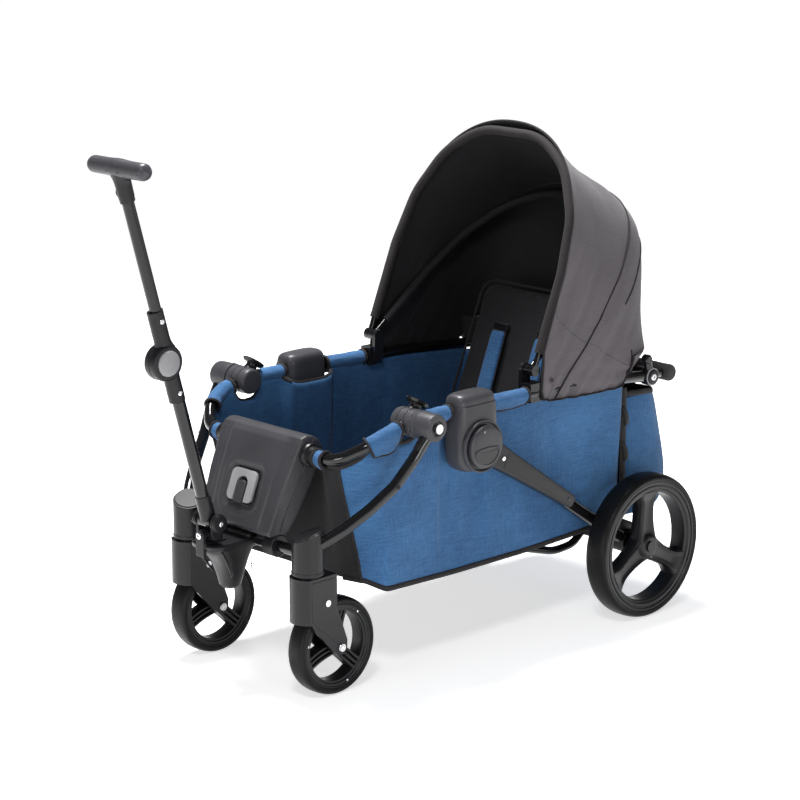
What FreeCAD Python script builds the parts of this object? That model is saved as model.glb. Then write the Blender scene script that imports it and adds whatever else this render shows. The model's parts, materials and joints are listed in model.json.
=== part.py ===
import FreeCAD, Part
import math
import os
import Sketcher

# A folding one-seat pull wagon.  +Z is up, the front faces -Y, and the wagon's left side is +X.
# The origin lies on the ground, at the middle of the whole wagon's box.  Everything is in millimetres.
# Positions along the wagon are given from the front axle and moved by front_axle_y.

SIZES = {
    "front_axle_y": -273.0,
    "front_wheel_radius": 92.0, "front_tyre_width": 41.0, "front_rim_radius": 80.0, "front_track_half": 165.0,
    "rear_wheel_radius": 145.0, "rear_tyre_width": 49.0, "rear_rim_radius": 126.0, "rear_track_half": 269.0,
    "rear_axle_run": 744.0, "axle_rod_radius": 6.0, "running_gap": 0.1,
    "swivel_trail": 56.0, "fork_front_radius": 34.0, "fork_half_width": 27.5, "fork_plate": 5.5,
    "fork_top": 235.0, "fork_nose_bottom": 150.0, "fork_boss_radius": 15.0, "stem_radius": 8.0,
    "caster_house_radius": 29.5, "caster_house_bottom": 238.0, "caster_cap_z": 313.0, "caster_cap_tilt": 21.0,
    "cross_tube_radius": 10.0, "cross_tube_run": -63.0, "cross_tube_z": 277.0,
    "rail_radius": 11.0, "rail_front_run": 0.0, "rail_front_z": 436.0, "rail_half_width": 226.0,
    "rail_rear_half_width": 220.0, "rail_z": 497.0, "rail_rear_z": 471.0, "rail_bend": 60.0,
    "t_joint_run": 138.0, "t_joint_inner": 200.0, "t_joint_split": 252.0, "t_joint_outer": 300.0,
    "t_joint_radius": 25.5, "pivot_bolt_radius": 6.0, "leg_radius": 11.0,
    "house_run": 291.0, "house_pivot_z": 430.0, "house_inner": 205.0, "house_outer": 262.0,
    "disc_radius": 50.0, "disc_thickness": 7.0, "knob_radius": 35.0, "knob_height": 10.0,
    "rear_leg_radius": 13.0, "rear_beam_radius": 13.0, "rear_hub_radius": 24.0, "stay_radius": 8.0,
    "box_half_width": 107.0, "box_low_half_width": 96.0, "box_lug_radius": 21.0, "box_wall": 4.0,
    "bucket_run": -98.0, "bucket_top_z": 284.0, "bucket_bottom_z": 192.0,
    "bucket_top_radius": 38.0, "bucket_bottom_radius": 21.0,
    "tilt_z": 298.0, "foot_run": -147.0, "foot_z": 322.0, "handle_lean": 15.6, "handle_tube_radius": 12.0,
    "mid_joint_length": 325.0, "mid_joint_radius": 33.0, "mid_joint_half": 15.5, "mid_button_radius": 23.5,
    "handle_length": 690.0, "grip_length": 156.0, "grip_radius": 16.0,
    "clamp_run": 471.0, "bow_pivot_z": 536.0, "bow_radius": 5.2, "bow_height": 452.0,
    "front_bow_tilt": 22.5, "mid_bow_tilt": 54.0,
    "push_hinge_run": 806.0, "push_hinge_z": 469.0, "push_bar_reach": 78.0, "push_bar_radius": 9.0,
    "foam_radius": 17.0, "foam_half_length": 222.0,
    "basket_half_width": 212.0, "basket_bottom": 180.0, "basket_rear_run": 745.0, "fabric": 4.0,
    "canopy_half_width": 238.0, "canopy_fabric": 3.5, "seat_half_width": 165.0,
    "seat_top_half_width": 148.0, "seat_back_run": 565.0, "seat_lean": 20.5,
    "sleeve_thickness": 2.5,
}


class Dim:
    """A length that carries its value and the spreadsheet expression it comes from."""

    def __init__(self, value, text):
        self.value = float(value)
        self.text = text

    def __add__(self, other):
        other = dim(other)
        return Dim(self.value + other.value, "(%s + %s)" % (self.text, other.text))

    def __sub__(self, other):
        other = dim(other)
        return Dim(self.value - other.value, "(%s - %s)" % (self.text, other.text))

    def __mul__(self, other):
        other = dim(other)
        return Dim(self.value * other.value, "(%s * %s)" % (self.text, other.text))

    def __neg__(self):
        return self * -1.0


def dim(value):
    return value if isinstance(value, Dim) else Dim(value, "(%.6f)" % value)


def size(alias):
    return Dim(SIZES[alias], "Sizes." + alias)


def num(alias):
    return SIZES[alias]


def run(distance):
    """The Y position of a distance behind the front axle, as a Dim."""
    return size("front_axle_y") + distance


def at(distance):
    """The Y position of a distance behind the front axle, as a number."""
    return num("front_axle_y") + distance


doc = FreeCAD.newDocument("PullWagon")
sheet = doc.addObject("Spreadsheet::Sheet", "Sizes")
for row, (alias, value) in enumerate(SIZES.items(), start=1):
    sheet.set("A%d" % row, alias)
    sheet.set("B%d" % row, str(value))
    sheet.setAlias("B%d" % row, alias)
doc.recompute()

NODES = []
AXIS_TURN = {
    "X": FreeCAD.Rotation(FreeCAD.Vector(0, 1, 0), 90),
    "Y": FreeCAD.Rotation(FreeCAD.Vector(1, 0, 0), -90),
    "Z": FreeCAD.Rotation(),
}


def vec(x, y, z):
    return FreeCAD.Vector(x, y, z)


def keep(obj, label):
    """Name an object as a sub-part of the wagon."""
    obj.Label = label
    NODES.append(obj)
    return obj


def place(obj, position, turn):
    """Bind an object's position to the sheet and give it its direction."""
    position = [dim(value) for value in position]
    obj.Placement = FreeCAD.Placement(vec(*[p.value for p in position]), turn)
    for letter, value in zip("xyz", position):
        obj.setExpression("Placement.Base." + letter, value.text)
    return obj


def bind(obj, **sizes):
    for prop, value in sizes.items():
        value = dim(value)
        setattr(obj, prop, value.value)
        obj.setExpression(prop, value.text)
    return obj


def cylinder(name, radius, length, start, axis="Z", turn=None):
    """A cylinder that begins at start and runs along an axis, or along +Z turned by turn."""
    obj = doc.addObject("Part::Cylinder", name)
    bind(obj, Radius=radius, Height=length)
    return place(obj, start, turn or AXIS_TURN[axis])


def side_cylinder(name, radius, near, far, side, y, z):
    """A cylinder along X between two distances from the middle, on one side of the wagon."""
    near, far = dim(near), dim(far)
    start = near if side > 0 else -far
    return cylinder(name, radius, far - near, (start, y, z), "X")


def cone(name, radius_low, radius_high, length, start, turn=None):
    obj = doc.addObject("Part::Cone", name)
    bind(obj, Radius1=radius_low, Radius2=radius_high, Height=length)
    return place(obj, start, turn or AXIS_TURN["Z"])


def block(name, low, spans, turn=None):
    """A box from its low corner."""
    obj = doc.addObject("Part::Box", name)
    bind(obj, Length=spans[0], Width=spans[1], Height=spans[2])
    return place(obj, low, turn or AXIS_TURN["Z"])


def side_block(name, near, far, side, y_low, y_span, z_low, z_span):
    near, far = dim(near), dim(far)
    start = near if side > 0 else -far
    return block(name, (start, y_low, z_low), (far - near, y_span, z_span))


def sphere(name, radius, centre):
    obj = doc.addObject("Part::Sphere", name)
    bind(obj, Radius=radius)
    return place(obj, centre, AXIS_TURN["Z"])


def join(name, pieces):
    obj = doc.addObject("Part::MultiFuse", name)
    obj.Shapes = pieces
    return obj


def group(name, pieces):
    """Separate solids that share one node."""
    obj = doc.addObject("Part::Compound", name)
    obj.Links = pieces
    return obj


def cut(name, base, tool):
    obj = doc.addObject("Part::Cut", name)
    obj.Base = base
    obj.Tool = tool
    return obj


def cut_all(name, base, tools):
    return cut(name, base, tools[0] if len(tools) == 1 else join(name + "_tools", tools))


def common(name, first, second):
    obj = doc.addObject("Part::Common", name)
    obj.Base = first
    obj.Tool = second
    return obj


def plate(name, outline, x_low, thickness):
    """An outline in Y and Z, as Dim pairs, drawn on a sketch and extruded along +X."""
    sketch = doc.addObject("Sketcher::SketchObject", name + "_sketch")
    sketch.Placement = FreeCAD.Placement(vec(0, 0, 0), FreeCAD.Rotation(vec(0, 1, 0), vec(0, 0, 1), vec(1, 0, 0)))
    draw_outline(sketch, outline)
    obj = doc.addObject("Part::Extrusion", name)
    obj.Base = sketch
    obj.DirMode = "Normal"
    obj.Solid = True
    bind(obj, LengthFwd=thickness)
    return place(obj, (x_low, 0, 0), AXIS_TURN["Z"])


def draw_outline(sketch, outline):
    """Straight lines through the points, each point bound to the sheet in both directions."""
    outline = [(dim(a), dim(b)) for a, b in outline]
    corners = [vec(a.value, b.value, 0) for a, b in outline]
    count = len(corners)
    for i in range(count):
        sketch.addGeometry(Part.LineSegment(corners[i], corners[(i + 1) % count]), False)
    for i in range(count):
        sketch.addConstraint(Sketcher.Constraint("Coincident", i, 2, (i + 1) % count, 1))
    for i, (a, b) in enumerate(outline):
        for kind, value in (("DistanceX", a), ("DistanceY", b)):
            number = sketch.addConstraint(Sketcher.Constraint(kind, -1, 1, i, 1, value.value))
            sketch.setExpression("Constraints[%d]" % number, value.text)
    return sketch


def feature(name, shape):
    """A shape that is made with Part's own functions from the sheet's sizes."""
    obj = doc.addObject("Part::Feature", name)
    obj.Shape = shape
    obj.Placement = FreeCAD.Placement()
    return obj


def rounded_path(points, bend):
    """Straight runs joined by tangent arcs; no arc is larger than its two runs allow."""
    edges = []
    last = points[0]
    for i in range(1, len(points) - 1):
        before = points[i] - points[i - 1]
        after = points[i + 1] - points[i]
        turn = before.getAngle(after)
        if turn < 0.01:
            continue
        room = 0.49 * min(before.Length, after.Length)
        reach = min(room, bend * math.tan(turn / 2))
        into = points[i] - before.normalize() * reach
        out = points[i] + after.normalize() * reach
        middle_line = (into + out) * 0.5 - points[i]
        radius = reach / math.tan(turn / 2)
        centre_gap = math.hypot(radius, reach)
        centre = points[i] + middle_line.normalize() * centre_gap
        middle = centre + (points[i] - centre).normalize() * radius
        if (into - last).Length > 0.01:
            edges.append(Part.LineSegment(last, into).toShape())
        edges.append(Part.Arc(into, middle, out).toShape())
        last = out
    edges.append(Part.LineSegment(last, points[-1]).toShape())
    return Part.Wire(edges)


def tube(points, radius, bend):
    """A round bar along a path of straight runs and tangent arcs."""
    path = rounded_path(points, bend)
    direction = points[1] - points[0]
    section = Part.Wire(Part.makeCircle(radius, points[0], direction))
    return Part.Solid(path.makePipeShell([section], True, False))


def mirrored(points):
    return [vec(-p.x, p.y, p.z) for p in points]


def both_sides(points):
    """A path from its left end to the middle, carried on to the right end."""
    return points + mirrored(points[::-1])


# ---------------------------------------------------------------- frame

def rail_points():
    """The left half of the top rail's centre line, from its rear end to the front bar."""
    rear = vec(num("rail_rear_half_width"), at(num("push_hinge_run") - 17), num("rail_rear_z"))
    return [
        rear,
        vec(num("rail_rear_half_width"), at(560), 489),
        vec(num("rail_half_width"), at(291), num("rail_z")),
        vec(num("rail_half_width") + 1, at(138), num("rail_z")),
        vec(230, at(88), 487),
        vec(212, at(40), 462),
        vec(178, at(10), 440),
        vec(138, at(num("rail_front_run")), num("rail_front_z")),
    ]


def rail_shape(extra=0.0):
    return tube(both_sides(rail_points()), num("rail_radius") + extra, num("rail_bend"))


def rail_clearance(name):
    return feature(name, rail_shape(0.15))


def top_rail():
    keep(feature("top_rail", rail_shape()), "top_rail")


def rail_t_joints():
    """The fixed inner halves of the two leg hinges, each clamped on the rail."""
    halves = []
    y, z = run(size("t_joint_run")), size("rail_z")
    for side in (1, -1):
        drum = side_cylinder("t_drum", size("t_joint_radius"), size("t_joint_inner"), size("t_joint_split"), side, y, z)
        collar = side_cylinder("t_collar", size("t_joint_radius") + 1.5, size("t_joint_inner") + 8,
                               size("t_joint_inner") + 16, side, y, z)
        bolt_hole = side_cylinder("t_bolt_hole", size("pivot_bolt_radius") + 0.05, size("t_joint_split") - 12,
                                  size("t_joint_split") + 1, side, y, z)
        stub = cylinder("t_stub", 11, 34, (dim(224 * side), y, z), "Z", FreeCAD.Rotation(vec(1, 0, 0), -36.9))
        solid = join("t_solid", [drum, collar, stub])
        halves.append(cut_all("t_half", solid, [bolt_hole, rail_clearance("t_rail_room")]))
    keep(group("rail_t_joints", halves), "rail_t_joints")


def pivot_bolts():
    """Steel pivots: one bolt per leg hinge and one pin per rear-leg disc."""
    bolts = []
    for side in (1, -1):
        y, z = run(size("t_joint_run")), size("rail_z")
        shank = side_cylinder("leg_bolt_shank", size("pivot_bolt_radius"), size("t_joint_split") - 12,
                              size("t_joint_outer") + 1, side, y, z)
        head = side_cylinder("leg_bolt_head", 9, size("t_joint_outer") - 3, size("t_joint_outer") + 5, side, y, z)
        bolts.append(join("leg_bolt", [shank, head]))
        bolts.append(side_cylinder("disc_pin", 8, size("house_outer") - 24, size("house_outer") + 4.9, side,
                                   run(size("house_run")), size("house_pivot_z")))
    keep(group("pivot_bolts", bolts), "pivot_bolts")


def rounded(name, base, radius, wanted):
    """Round the edges that wanted picks."""
    doc.recompute()
    obj = doc.addObject("Part::Fillet", name)
    obj.Base = base
    chosen = [i for i, edge in enumerate(base.Shape.Edges, start=1) if wanted(edge)]
    obj.Edges = [(i, radius, radius) for i in chosen]
    return obj


def hinge_housing(side):
    """A moulded block below the rail with a domed neck that grips the rail."""
    name = "hinge_housing_left" if side > 0 else "hinge_housing_right"
    low = side_block(name + "_low", size("house_inner"), size("house_outer"), side,
                     run(size("house_run") - 55), 110, 384, 88)
    low_round = rounded(name + "_low_round", low, 14.0, lambda edge: True)
    neck = side_block(name + "_neck", size("house_inner") + 3, size("house_inner") + 45, side,
                      run(size("house_run") - 36), 78, 455, 53)
    dome = cylinder(name + "_dome", 21, 78, (dim(side) * (size("house_inner") + 24), run(size("house_run") - 36), 508), "Y")
    solid = join(name + "_solid", [low_round, neck, dome])
    pin_hole = side_cylinder(name + "_pin_hole", 8.05, size("house_outer") - 24, size("house_outer") + 1, side,
                             run(size("house_run")), size("house_pivot_z"))
    keep(cut_all(name, solid, [pin_hole, rail_clearance(name + "_rail_room")]), name)


# ---------------------------------------------------------------- front box

def box_outline(inset):
    """The front box from the side: a leaning face, a round top over the rail and a foot on the cross tube."""
    face_top, face_low = (-20, 470), (-90, 300)
    return [
        (run(face_top[0] + inset), dim(face_top[1] - 8 - inset)),
        (run(-13 + inset * 0.5), dim(470 - inset)),
        (run(0), dim(474 - inset)),
        (run(14), dim(471 - inset)),
        (run(28 - inset * 0.6), dim(461 - inset)),
        (run(38 - inset), dim(445 - inset * 0.5)),
        (run(38 - inset), dim(425)),
        (run(-22 - inset), dim(300)),
        (run(-40), dim(293 + inset * 0.5)),
        (run(face_low[0] + inset * 1.2), dim(face_low[1] + inset * 0.5)),
    ]


def box_taper(name, side):
    """The wedge that narrows the box towards its foot."""
    drop = num("box_half_width") - num("box_low_half_width")
    angle = math.degrees(math.atan2(drop, 180.0))
    turn = FreeCAD.Rotation(vec(0, 1, 0), angle * side)
    start_x = num("box_half_width") * side - (60 if side < 0 else 0)
    obj = block(name, (start_x, run(-150), 280), (60, 260, 230), turn)
    obj.Placement = FreeCAD.Placement(vec(start_x, at(-150), 280), turn, vec(60 if side < 0 else 0, 0, 190))
    for letter in "xyz":
        obj.setExpression("Placement.Base." + letter, None)
    return obj


def front_box():
    """A hollow shell that is open at the back, its back cover, and the hooks on the cross tube."""
    half = size("box_half_width")
    outer = plate("box_outer", box_outline(0), -half, half * 2.0)
    core = plate("box_core", box_outline(num("box_wall")), size("box_wall") - half, (half - size("box_wall")) * 2.0)
    shell = cut("box_hollow", outer, core)
    hooks = []
    for side in (1, -1):
        hooks.append(side_cylinder("box_hook", size("box_lug_radius"), 62, 92, side,
                                   run(size("cross_tube_run")), size("cross_tube_z")))
    solid = join("box_solid", [shell] + hooks)
    opening_turn = FreeCAD.Rotation(vec(1, 0, 0), -42.5)
    slot = block("box_hook_slot", (-120, run(size("cross_tube_run")), size("cross_tube_z")), (240, 60, 21), opening_turn)
    centre = vec(-120, at(num("cross_tube_run")), num("cross_tube_z"))
    slot.Placement = FreeCAD.Placement(centre - opening_turn.multVec(vec(0, 0, 10.5)), opening_turn)
    for letter in "xyz":
        slot.setExpression("Placement.Base." + letter, None)
    tube_room = cylinder("box_tube_room", size("cross_tube_radius") + 0.5, 240,
                         (-120, run(size("cross_tube_run")), size("cross_tube_z")), "X")
    bucket_room = cylinder("box_bucket_room", size("bucket_top_radius") + 3, 130,
                           (0, run(size("bucket_run")), 225), "Z")
    button_turn = FreeCAD.Rotation(vec(1, 0, 0), -22.0)
    button_room = block("box_button_room", (-38, run(-75), 340), (76, 40, 71), button_turn)
    back_window = block("box_back_window", (-70, run(-14), 315), (140, 60, 100))
    tapers = [box_taper("box_taper_left", 1), box_taper("box_taper_right", -1)]
    shaped = cut_all("front_box_shell", solid,
                     [slot, tube_room, bucket_room, button_room, back_window, rail_clearance("box_rail_room")] + tapers)
    keep(shaped, "front_box_shell")
    cover = block("box_cover_plate", (-69.5, run(-11), 316), (139, 3, 98))
    cover.Placement = FreeCAD.Placement(vec(-69.5, at(-6), 316), FreeCAD.Rotation(vec(1, 0, 0), -25.6))
    for letter in "xyz":
        cover.setExpression("Placement.Base." + letter, None)
    keep(cover, "front_box_back")


def face_point(height):
    """A point on the middle of the front box's leaning face."""
    share = (height - 300.0) / 166.0
    return vec(0, at(-90 + 70 * share), height)


FACE_TURN = FreeCAD.Rotation(vec(1, 0, 0), -22.9)


def on_face(name, low, spans, height):
    """A block set square to the leaning face, its low corner measured from a point on the face."""
    obj = doc.addObject("Part::Box", name)
    bind(obj, Length=spans[0], Width=spans[1], Height=spans[2])
    obj.Placement = FreeCAD.Placement(face_point(height) + FACE_TURN.multVec(vec(*low)), FACE_TURN)
    return obj


def box_button():
    """The release: a light U-shaped ring round a grip lever."""
    ring = on_face("button_ring", (-37, -2, -31), (74, 10, 62), 373)
    ring_round = rounded("button_ring_round", ring, 16.0, lambda edge: is_along(edge, FACE_TURN.multVec(vec(0, 1, 0))))
    hole = on_face("button_hole", (-15, -3, -40), (30, 12, 56), 373)
    lever = on_face("button_lever", (-12, 0, -30), (24, 10, 36), 373)
    bar = on_face("button_bar", (-30, 6, -28), (60, 6, 44), 373)
    keep(join("box_button", [cut("button_u", ring_round, hole), lever, bar]), "box_button")


def is_along(edge, direction):
    """Whether an edge is a straight line along a direction."""
    if edge.Curve.TypeId != "Part::GeomLine":
        return False
    line = edge.Curve.Direction
    return abs(abs(line.dot(direction)) - 1.0) < 1e-4


# ---------------------------------------------------------------- front legs and casters

def leg_points(side):
    points = [
        vec(284, at(124), 478), vec(278, at(99.5), 444), vec(262, at(68), 397), vec(238, at(24), 354),
        vec(213, at(-12), 321), vec(185, at(-44), 295.5),
    ]
    return points if side > 0 else mirrored(points)


def leg_shape(side, extra=0.0):
    return tube(leg_points(side), num("leg_radius") + extra, 90)


def front_leg(side):
    name = "front_leg_left" if side > 0 else "front_leg_right"
    keep(feature(name, leg_shape(side)), name)


def leg_hubs():
    """The turning outer halves of the leg hinges, with a recessed end face."""
    hubs = []
    y, z = run(size("t_joint_run")), size("rail_z")
    for side in (1, -1):
        drum = side_cylinder("hub_drum", size("t_joint_radius") + 0.5, size("t_joint_split") + 1,
                             size("t_joint_outer"), side, y, z)
        collar = side_cylinder("hub_collar", size("t_joint_radius") + 2, size("t_joint_split") + 1,
                               size("t_joint_split") + 9, side, y, z)
        recess = side_cylinder("hub_recess", 14, size("t_joint_outer") - 4, size("t_joint_outer") + 1, side, y, z)
        bore = side_cylinder("hub_bore", size("pivot_bolt_radius") + size("running_gap"), size("t_joint_split"),
                             size("t_joint_outer"), side, y, z)
        leg_room = feature("hub_leg_room", leg_shape(side, 0.1))
        hubs.append(cut_all("leg_hub", join("hub_solid", [drum, collar]), [recess, bore, leg_room]))
    keep(group("leg_hubs", hubs), "leg_hubs")


def accessory_adaptors():
    """A round plate on the stub of each fixed hinge half, for a cup holder or tray."""
    plates = []
    turn = FreeCAD.Rotation(vec(1, 0, 0), -36.9)
    for side in (1, -1):
        base = vec(224 * side, at(num("t_joint_run")), num("rail_z")) + turn.multVec(vec(0, 0, 34.2))
        obj = doc.addObject("Part::Cylinder", "adaptor_disc")
        bind(obj, Radius=20, Height=4)
        obj.Placement = FreeCAD.Placement(base, turn)
        plates.append(obj)
    keep(group("accessory_adaptors", plates), "accessory_adaptors")


def swivel_y():
    return run(-size("swivel_trail"))


def caster_housing(side):
    """A round housing with a cap that slopes inwards and forwards."""
    name = "caster_housing_left" if side > 0 else "caster_housing_right"
    x = size("front_track_half") * side
    drum = cylinder(name + "_drum", size("caster_house_radius"), 100, (x, swivel_y(), size("caster_house_bottom")))
    tilt_axis = vec(1.0, -1.0 * side, 0)
    turn = FreeCAD.Rotation(tilt_axis, num("caster_cap_tilt"))
    slope = doc.addObject("Part::Box", name + "_slope")
    bind(slope, Length=120, Width=120, Height=60)
    centre = vec(num("front_track_half") * side, at(-num("swivel_trail")), num("caster_cap_z"))
    slope.Placement = FreeCAD.Placement(centre - turn.multVec(vec(60, 60, 0)), turn)
    stem_room = cylinder(name + "_stem_room", size("stem_radius") + size("running_gap"), 58,
                         (x, swivel_y(), size("caster_house_bottom")))
    leg_room = feature(name + "_leg_room", leg_shape(side, 0.1))
    tube_room = cylinder(name + "_tube_room", size("cross_tube_radius") + 0.1, 296,
                         (-148, run(size("cross_tube_run")), size("cross_tube_z")), "X")
    keep(cut_all(name, drum, [slope, stem_room, leg_room, tube_room]), name)


def cross_tube():
    keep(cylinder("cross_tube", size("cross_tube_radius"), 296,
                  (-148, run(size("cross_tube_run")), size("cross_tube_z")), "X"), "cross_tube")


def wheel_room(name, side):
    return side_cylinder(name, size("front_wheel_radius") + 5, size("front_track_half") - 22,
                         size("front_track_half") + 22, side, run(0), size("front_wheel_radius"))


def caster_fork(side):
    """A rounded nose and crown with a flat plate down each side of the wheel."""
    name = "caster_fork_left" if side > 0 else "caster_fork_right"
    x = num("front_track_half") * side
    nose = cylinder(name + "_nose", size("fork_front_radius"), size("fork_top") - size("fork_nose_bottom"),
                    (dim(x), swivel_y(), size("fork_nose_bottom")))
    flats = block(name + "_flats", (dim(x) - size("fork_half_width"), run(-120), 100),
                  (size("fork_half_width") * 2.0, 85, 150))
    front = common(name + "_front", nose, flats)
    crown = block(name + "_crown", (dim(x) - size("fork_half_width"), run(-56), 205),
                  (size("fork_half_width") * 2.0, 46, size("fork_top") - 205))
    outline = [(run(-77), size("fork_top")), (run(-10), size("fork_top")), (run(-10), dim(172)), (run(15), dim(104)),
               (run(14), dim(86)), (run(4), dim(77.5)), (run(-8), dim(79)), (run(-22), dim(90)),
               (run(-66), dim(139)), (run(-77), dim(158))]
    plates = plate(name + "_plates", outline, dim(x) - size("fork_half_width"), size("fork_half_width") * 2.0)
    solid = join(name + "_solid", [front, crown, plates])
    stem_hole = cylinder(name + "_stem_hole", size("stem_radius") + 0.02, 45, (dim(x), swivel_y(), 195))
    axle_hole = cylinder(name + "_axle_hole", size("axle_rod_radius") - 2 + 0.02, 70,
                         (dim(x - 35), run(0), size("front_wheel_radius")), "X")
    keep(cut_all(name, solid, [wheel_room(name + "_wheel_room", side), stem_hole, axle_hole]), name)


def caster_hardware(side):
    """The swivel stem, its thrust washer, the wheel's axle bolt and the plate's cross bolt."""
    name = "caster_hardware_left" if side > 0 else "caster_hardware_right"
    x = num("front_track_half") * side
    stem = cylinder(name + "_stem", size("stem_radius"), 90, (dim(x), swivel_y(), 205))
    washer = cylinder(name + "_washer", 24, 2.6, (dim(x), swivel_y(), size("fork_top") + 0.1))
    axle = cylinder(name + "_axle", size("axle_rod_radius") - 2, 60, (dim(x - 30), run(0), size("front_wheel_radius")), "X")
    heads = []
    for end in (1, -1):
        head_x = dim(x + (27.6 if end > 0 else -31.6))
        heads.append(cylinder(name + "_head", 7, 4, (head_x, run(0), size("front_wheel_radius")), "X"))
    bolt_heads = []
    for end in (1, -1):
        head_x = dim(x + (27.6 if end > 0 else -30.1))
        bolt_heads.append(cylinder(name + "_bolt", 6, 2.5, (head_x, run(-34), 184), "X"))
    axle_set = join(name + "_axle_set", [axle] + heads)
    keep(group(name, [join(name + "_stem_set", [stem, washer]), axle_set] + bolt_heads), name)


# ---------------------------------------------------------------- wheels

def origin_plane(body, role):
    return [item for item in body.Origin.OriginFeatures if item.Role == role][0]


def body_sketch(body, name, role, outline):
    sketch = body.newObject("Sketcher::SketchObject", name)
    sketch.AttachmentSupport = [(origin_plane(body, role), "")]
    sketch.MapMode = "FlatFace"
    return draw_outline(sketch, outline)


def revolve(body, name, outline):
    """A ring about the body's X axis; the outline gives distance along X and radius."""
    sketch = body_sketch(body, name + "_sketch", "XY_Plane", outline)
    ring = body.newObject("PartDesign::Revolution", name)
    ring.Profile = sketch
    ring.ReferenceAxis = (sketch, ["H_Axis"])
    ring.Angle = 360
    return ring


def outer_edges(shape, radius):
    """The names of the circular edges at a radius about the body's X axis."""
    names = []
    for i, edge in enumerate(shape.Edges, start=1):
        if edge.Curve.TypeId == "Part::GeomCircle" and abs(edge.Curve.Radius - radius) < 0.01:
            names.append("Edge%d" % i)
    return names


def tyre(name, radius, width, rim_radius, crown, centre):
    """A round-shouldered tyre whose foot sits between the rim's flanges."""
    body = doc.addObject("PartDesign::Body", name)
    half, foot = width * 0.5, rim_radius - 11
    outline = [(-half, rim_radius + 0.1), (-half, radius), (half, radius), (half, rim_radius + 0.1),
               (half - 6.8, rim_radius + 0.1), (half - 6.8, foot), (dim(6.8) - half, foot),
               (dim(6.8) - half, rim_radius + 0.1)]
    ring = revolve(body, name + "_ring", outline)
    doc.recompute()
    shoulder = body.newObject("PartDesign::Fillet", name + "_shoulder")
    shoulder.Base = (ring, outer_edges(ring.Shape, radius.value))
    shoulder.Radius = crown
    place(body, centre, AXIS_TURN["Z"])
    keep(body, name)


def rim(name, width, rim_radius, hub_radius, hub_half, bore, spoke_width, centre, lean):
    """A flanged rim, a hub and three wide spokes."""
    body = doc.addObject("PartDesign::Body", name)
    half = width * 0.5 - 0.6
    foot = rim_radius - 11.2
    inner = rim_radius - 16
    outline = [(-half, rim_radius), (dim(6.0) - half, rim_radius), (dim(6.0) - half, foot), (half - 6.0, foot),
               (half - 6.0, rim_radius), (half, rim_radius), (half, inner), (-half, inner)]
    revolve(body, name + "_ring", outline)
    revolve(body, name + "_hub", [(-hub_half, bore), (-hub_half, hub_radius), (hub_half, hub_radius), (hub_half, bore)])
    sketch = body_sketch(body, name + "_spoke_sketch", "YZ_Plane",
                         [(-spoke_width * 0.5, hub_radius - 5), (spoke_width * 0.5, hub_radius - 5),
                          (spoke_width * 0.42, inner + 2), (-spoke_width * 0.42, inner + 2)])
    spoke = body.newObject("PartDesign::Pad", name + "_spoke")
    spoke.Profile = sketch
    spoke.Midplane = True
    bind(spoke, Length=hub_half * 1.3)
    turned = body.newObject("PartDesign::PolarPattern", name + "_spokes")
    turned.Originals = [spoke]
    turned.Axis = (origin_axis(body, "X_Axis"), [""])
    turned.Angle = 360
    turned.Occurrences = 3
    body.Tip = turned
    place(body, centre, FreeCAD.Rotation(vec(1, 0, 0), lean))
    keep(body, name)


def origin_axis(body, role):
    return [item for item in body.Origin.OriginFeatures if item.Role == role][0]


def wheels():
    for side, word in ((1, "left"), (-1, "right")):
        front = (size("front_track_half") * side, run(0), size("front_wheel_radius"))
        rear = (size("rear_track_half") * side, run(size("rear_axle_run")), size("rear_wheel_radius"))
        tyre("front_tyre_" + word, size("front_wheel_radius"), size("front_tyre_width"), size("front_rim_radius"), 9.5, front)
        rim("front_rim_" + word, size("front_tyre_width"), size("front_rim_radius"), dim(16), dim(19),
            size("axle_rod_radius") - 2 + size("running_gap"), dim(24), front, 12)
        tyre("rear_tyre_" + word, size("rear_wheel_radius"), size("rear_tyre_width"), size("rear_rim_radius"), 17, rear)
        rim("rear_rim_" + word, size("rear_tyre_width"), size("rear_rim_radius"), dim(24), dim(20),
            size("axle_rod_radius") + size("running_gap"), dim(38), rear, 0)


# ---------------------------------------------------------------- rear legs

def rear_direction():
    """The unit vector in Y and Z from the disc's pivot to the rear axle."""
    dy = num("rear_axle_run") - num("house_run")
    dz = num("rear_wheel_radius") - num("house_pivot_z")
    length = math.hypot(dy, dz)
    return dy / length, dz / length, length


def rear_leg_point(distance, side):
    dy, dz, length = rear_direction()
    x = 250 - 0.116 * (distance - 190) if distance < 380 else 228 - 0.011 * (distance - 380)
    return vec(x * side, at(num("house_run") + dy * distance), num("house_pivot_z") + dz * distance)


def rear_leg_shape(side, extra=0.0):
    length = rear_direction()[2]
    points = [rear_leg_point(distance, side) for distance in (200, 380, length - 22)]
    return tube(points, num("rear_leg_radius") + extra, 400)


def rear_leg(side):
    name = "rear_leg_left" if side > 0 else "rear_leg_right"
    keep(feature(name, rear_leg_shape(side)), name)


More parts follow.
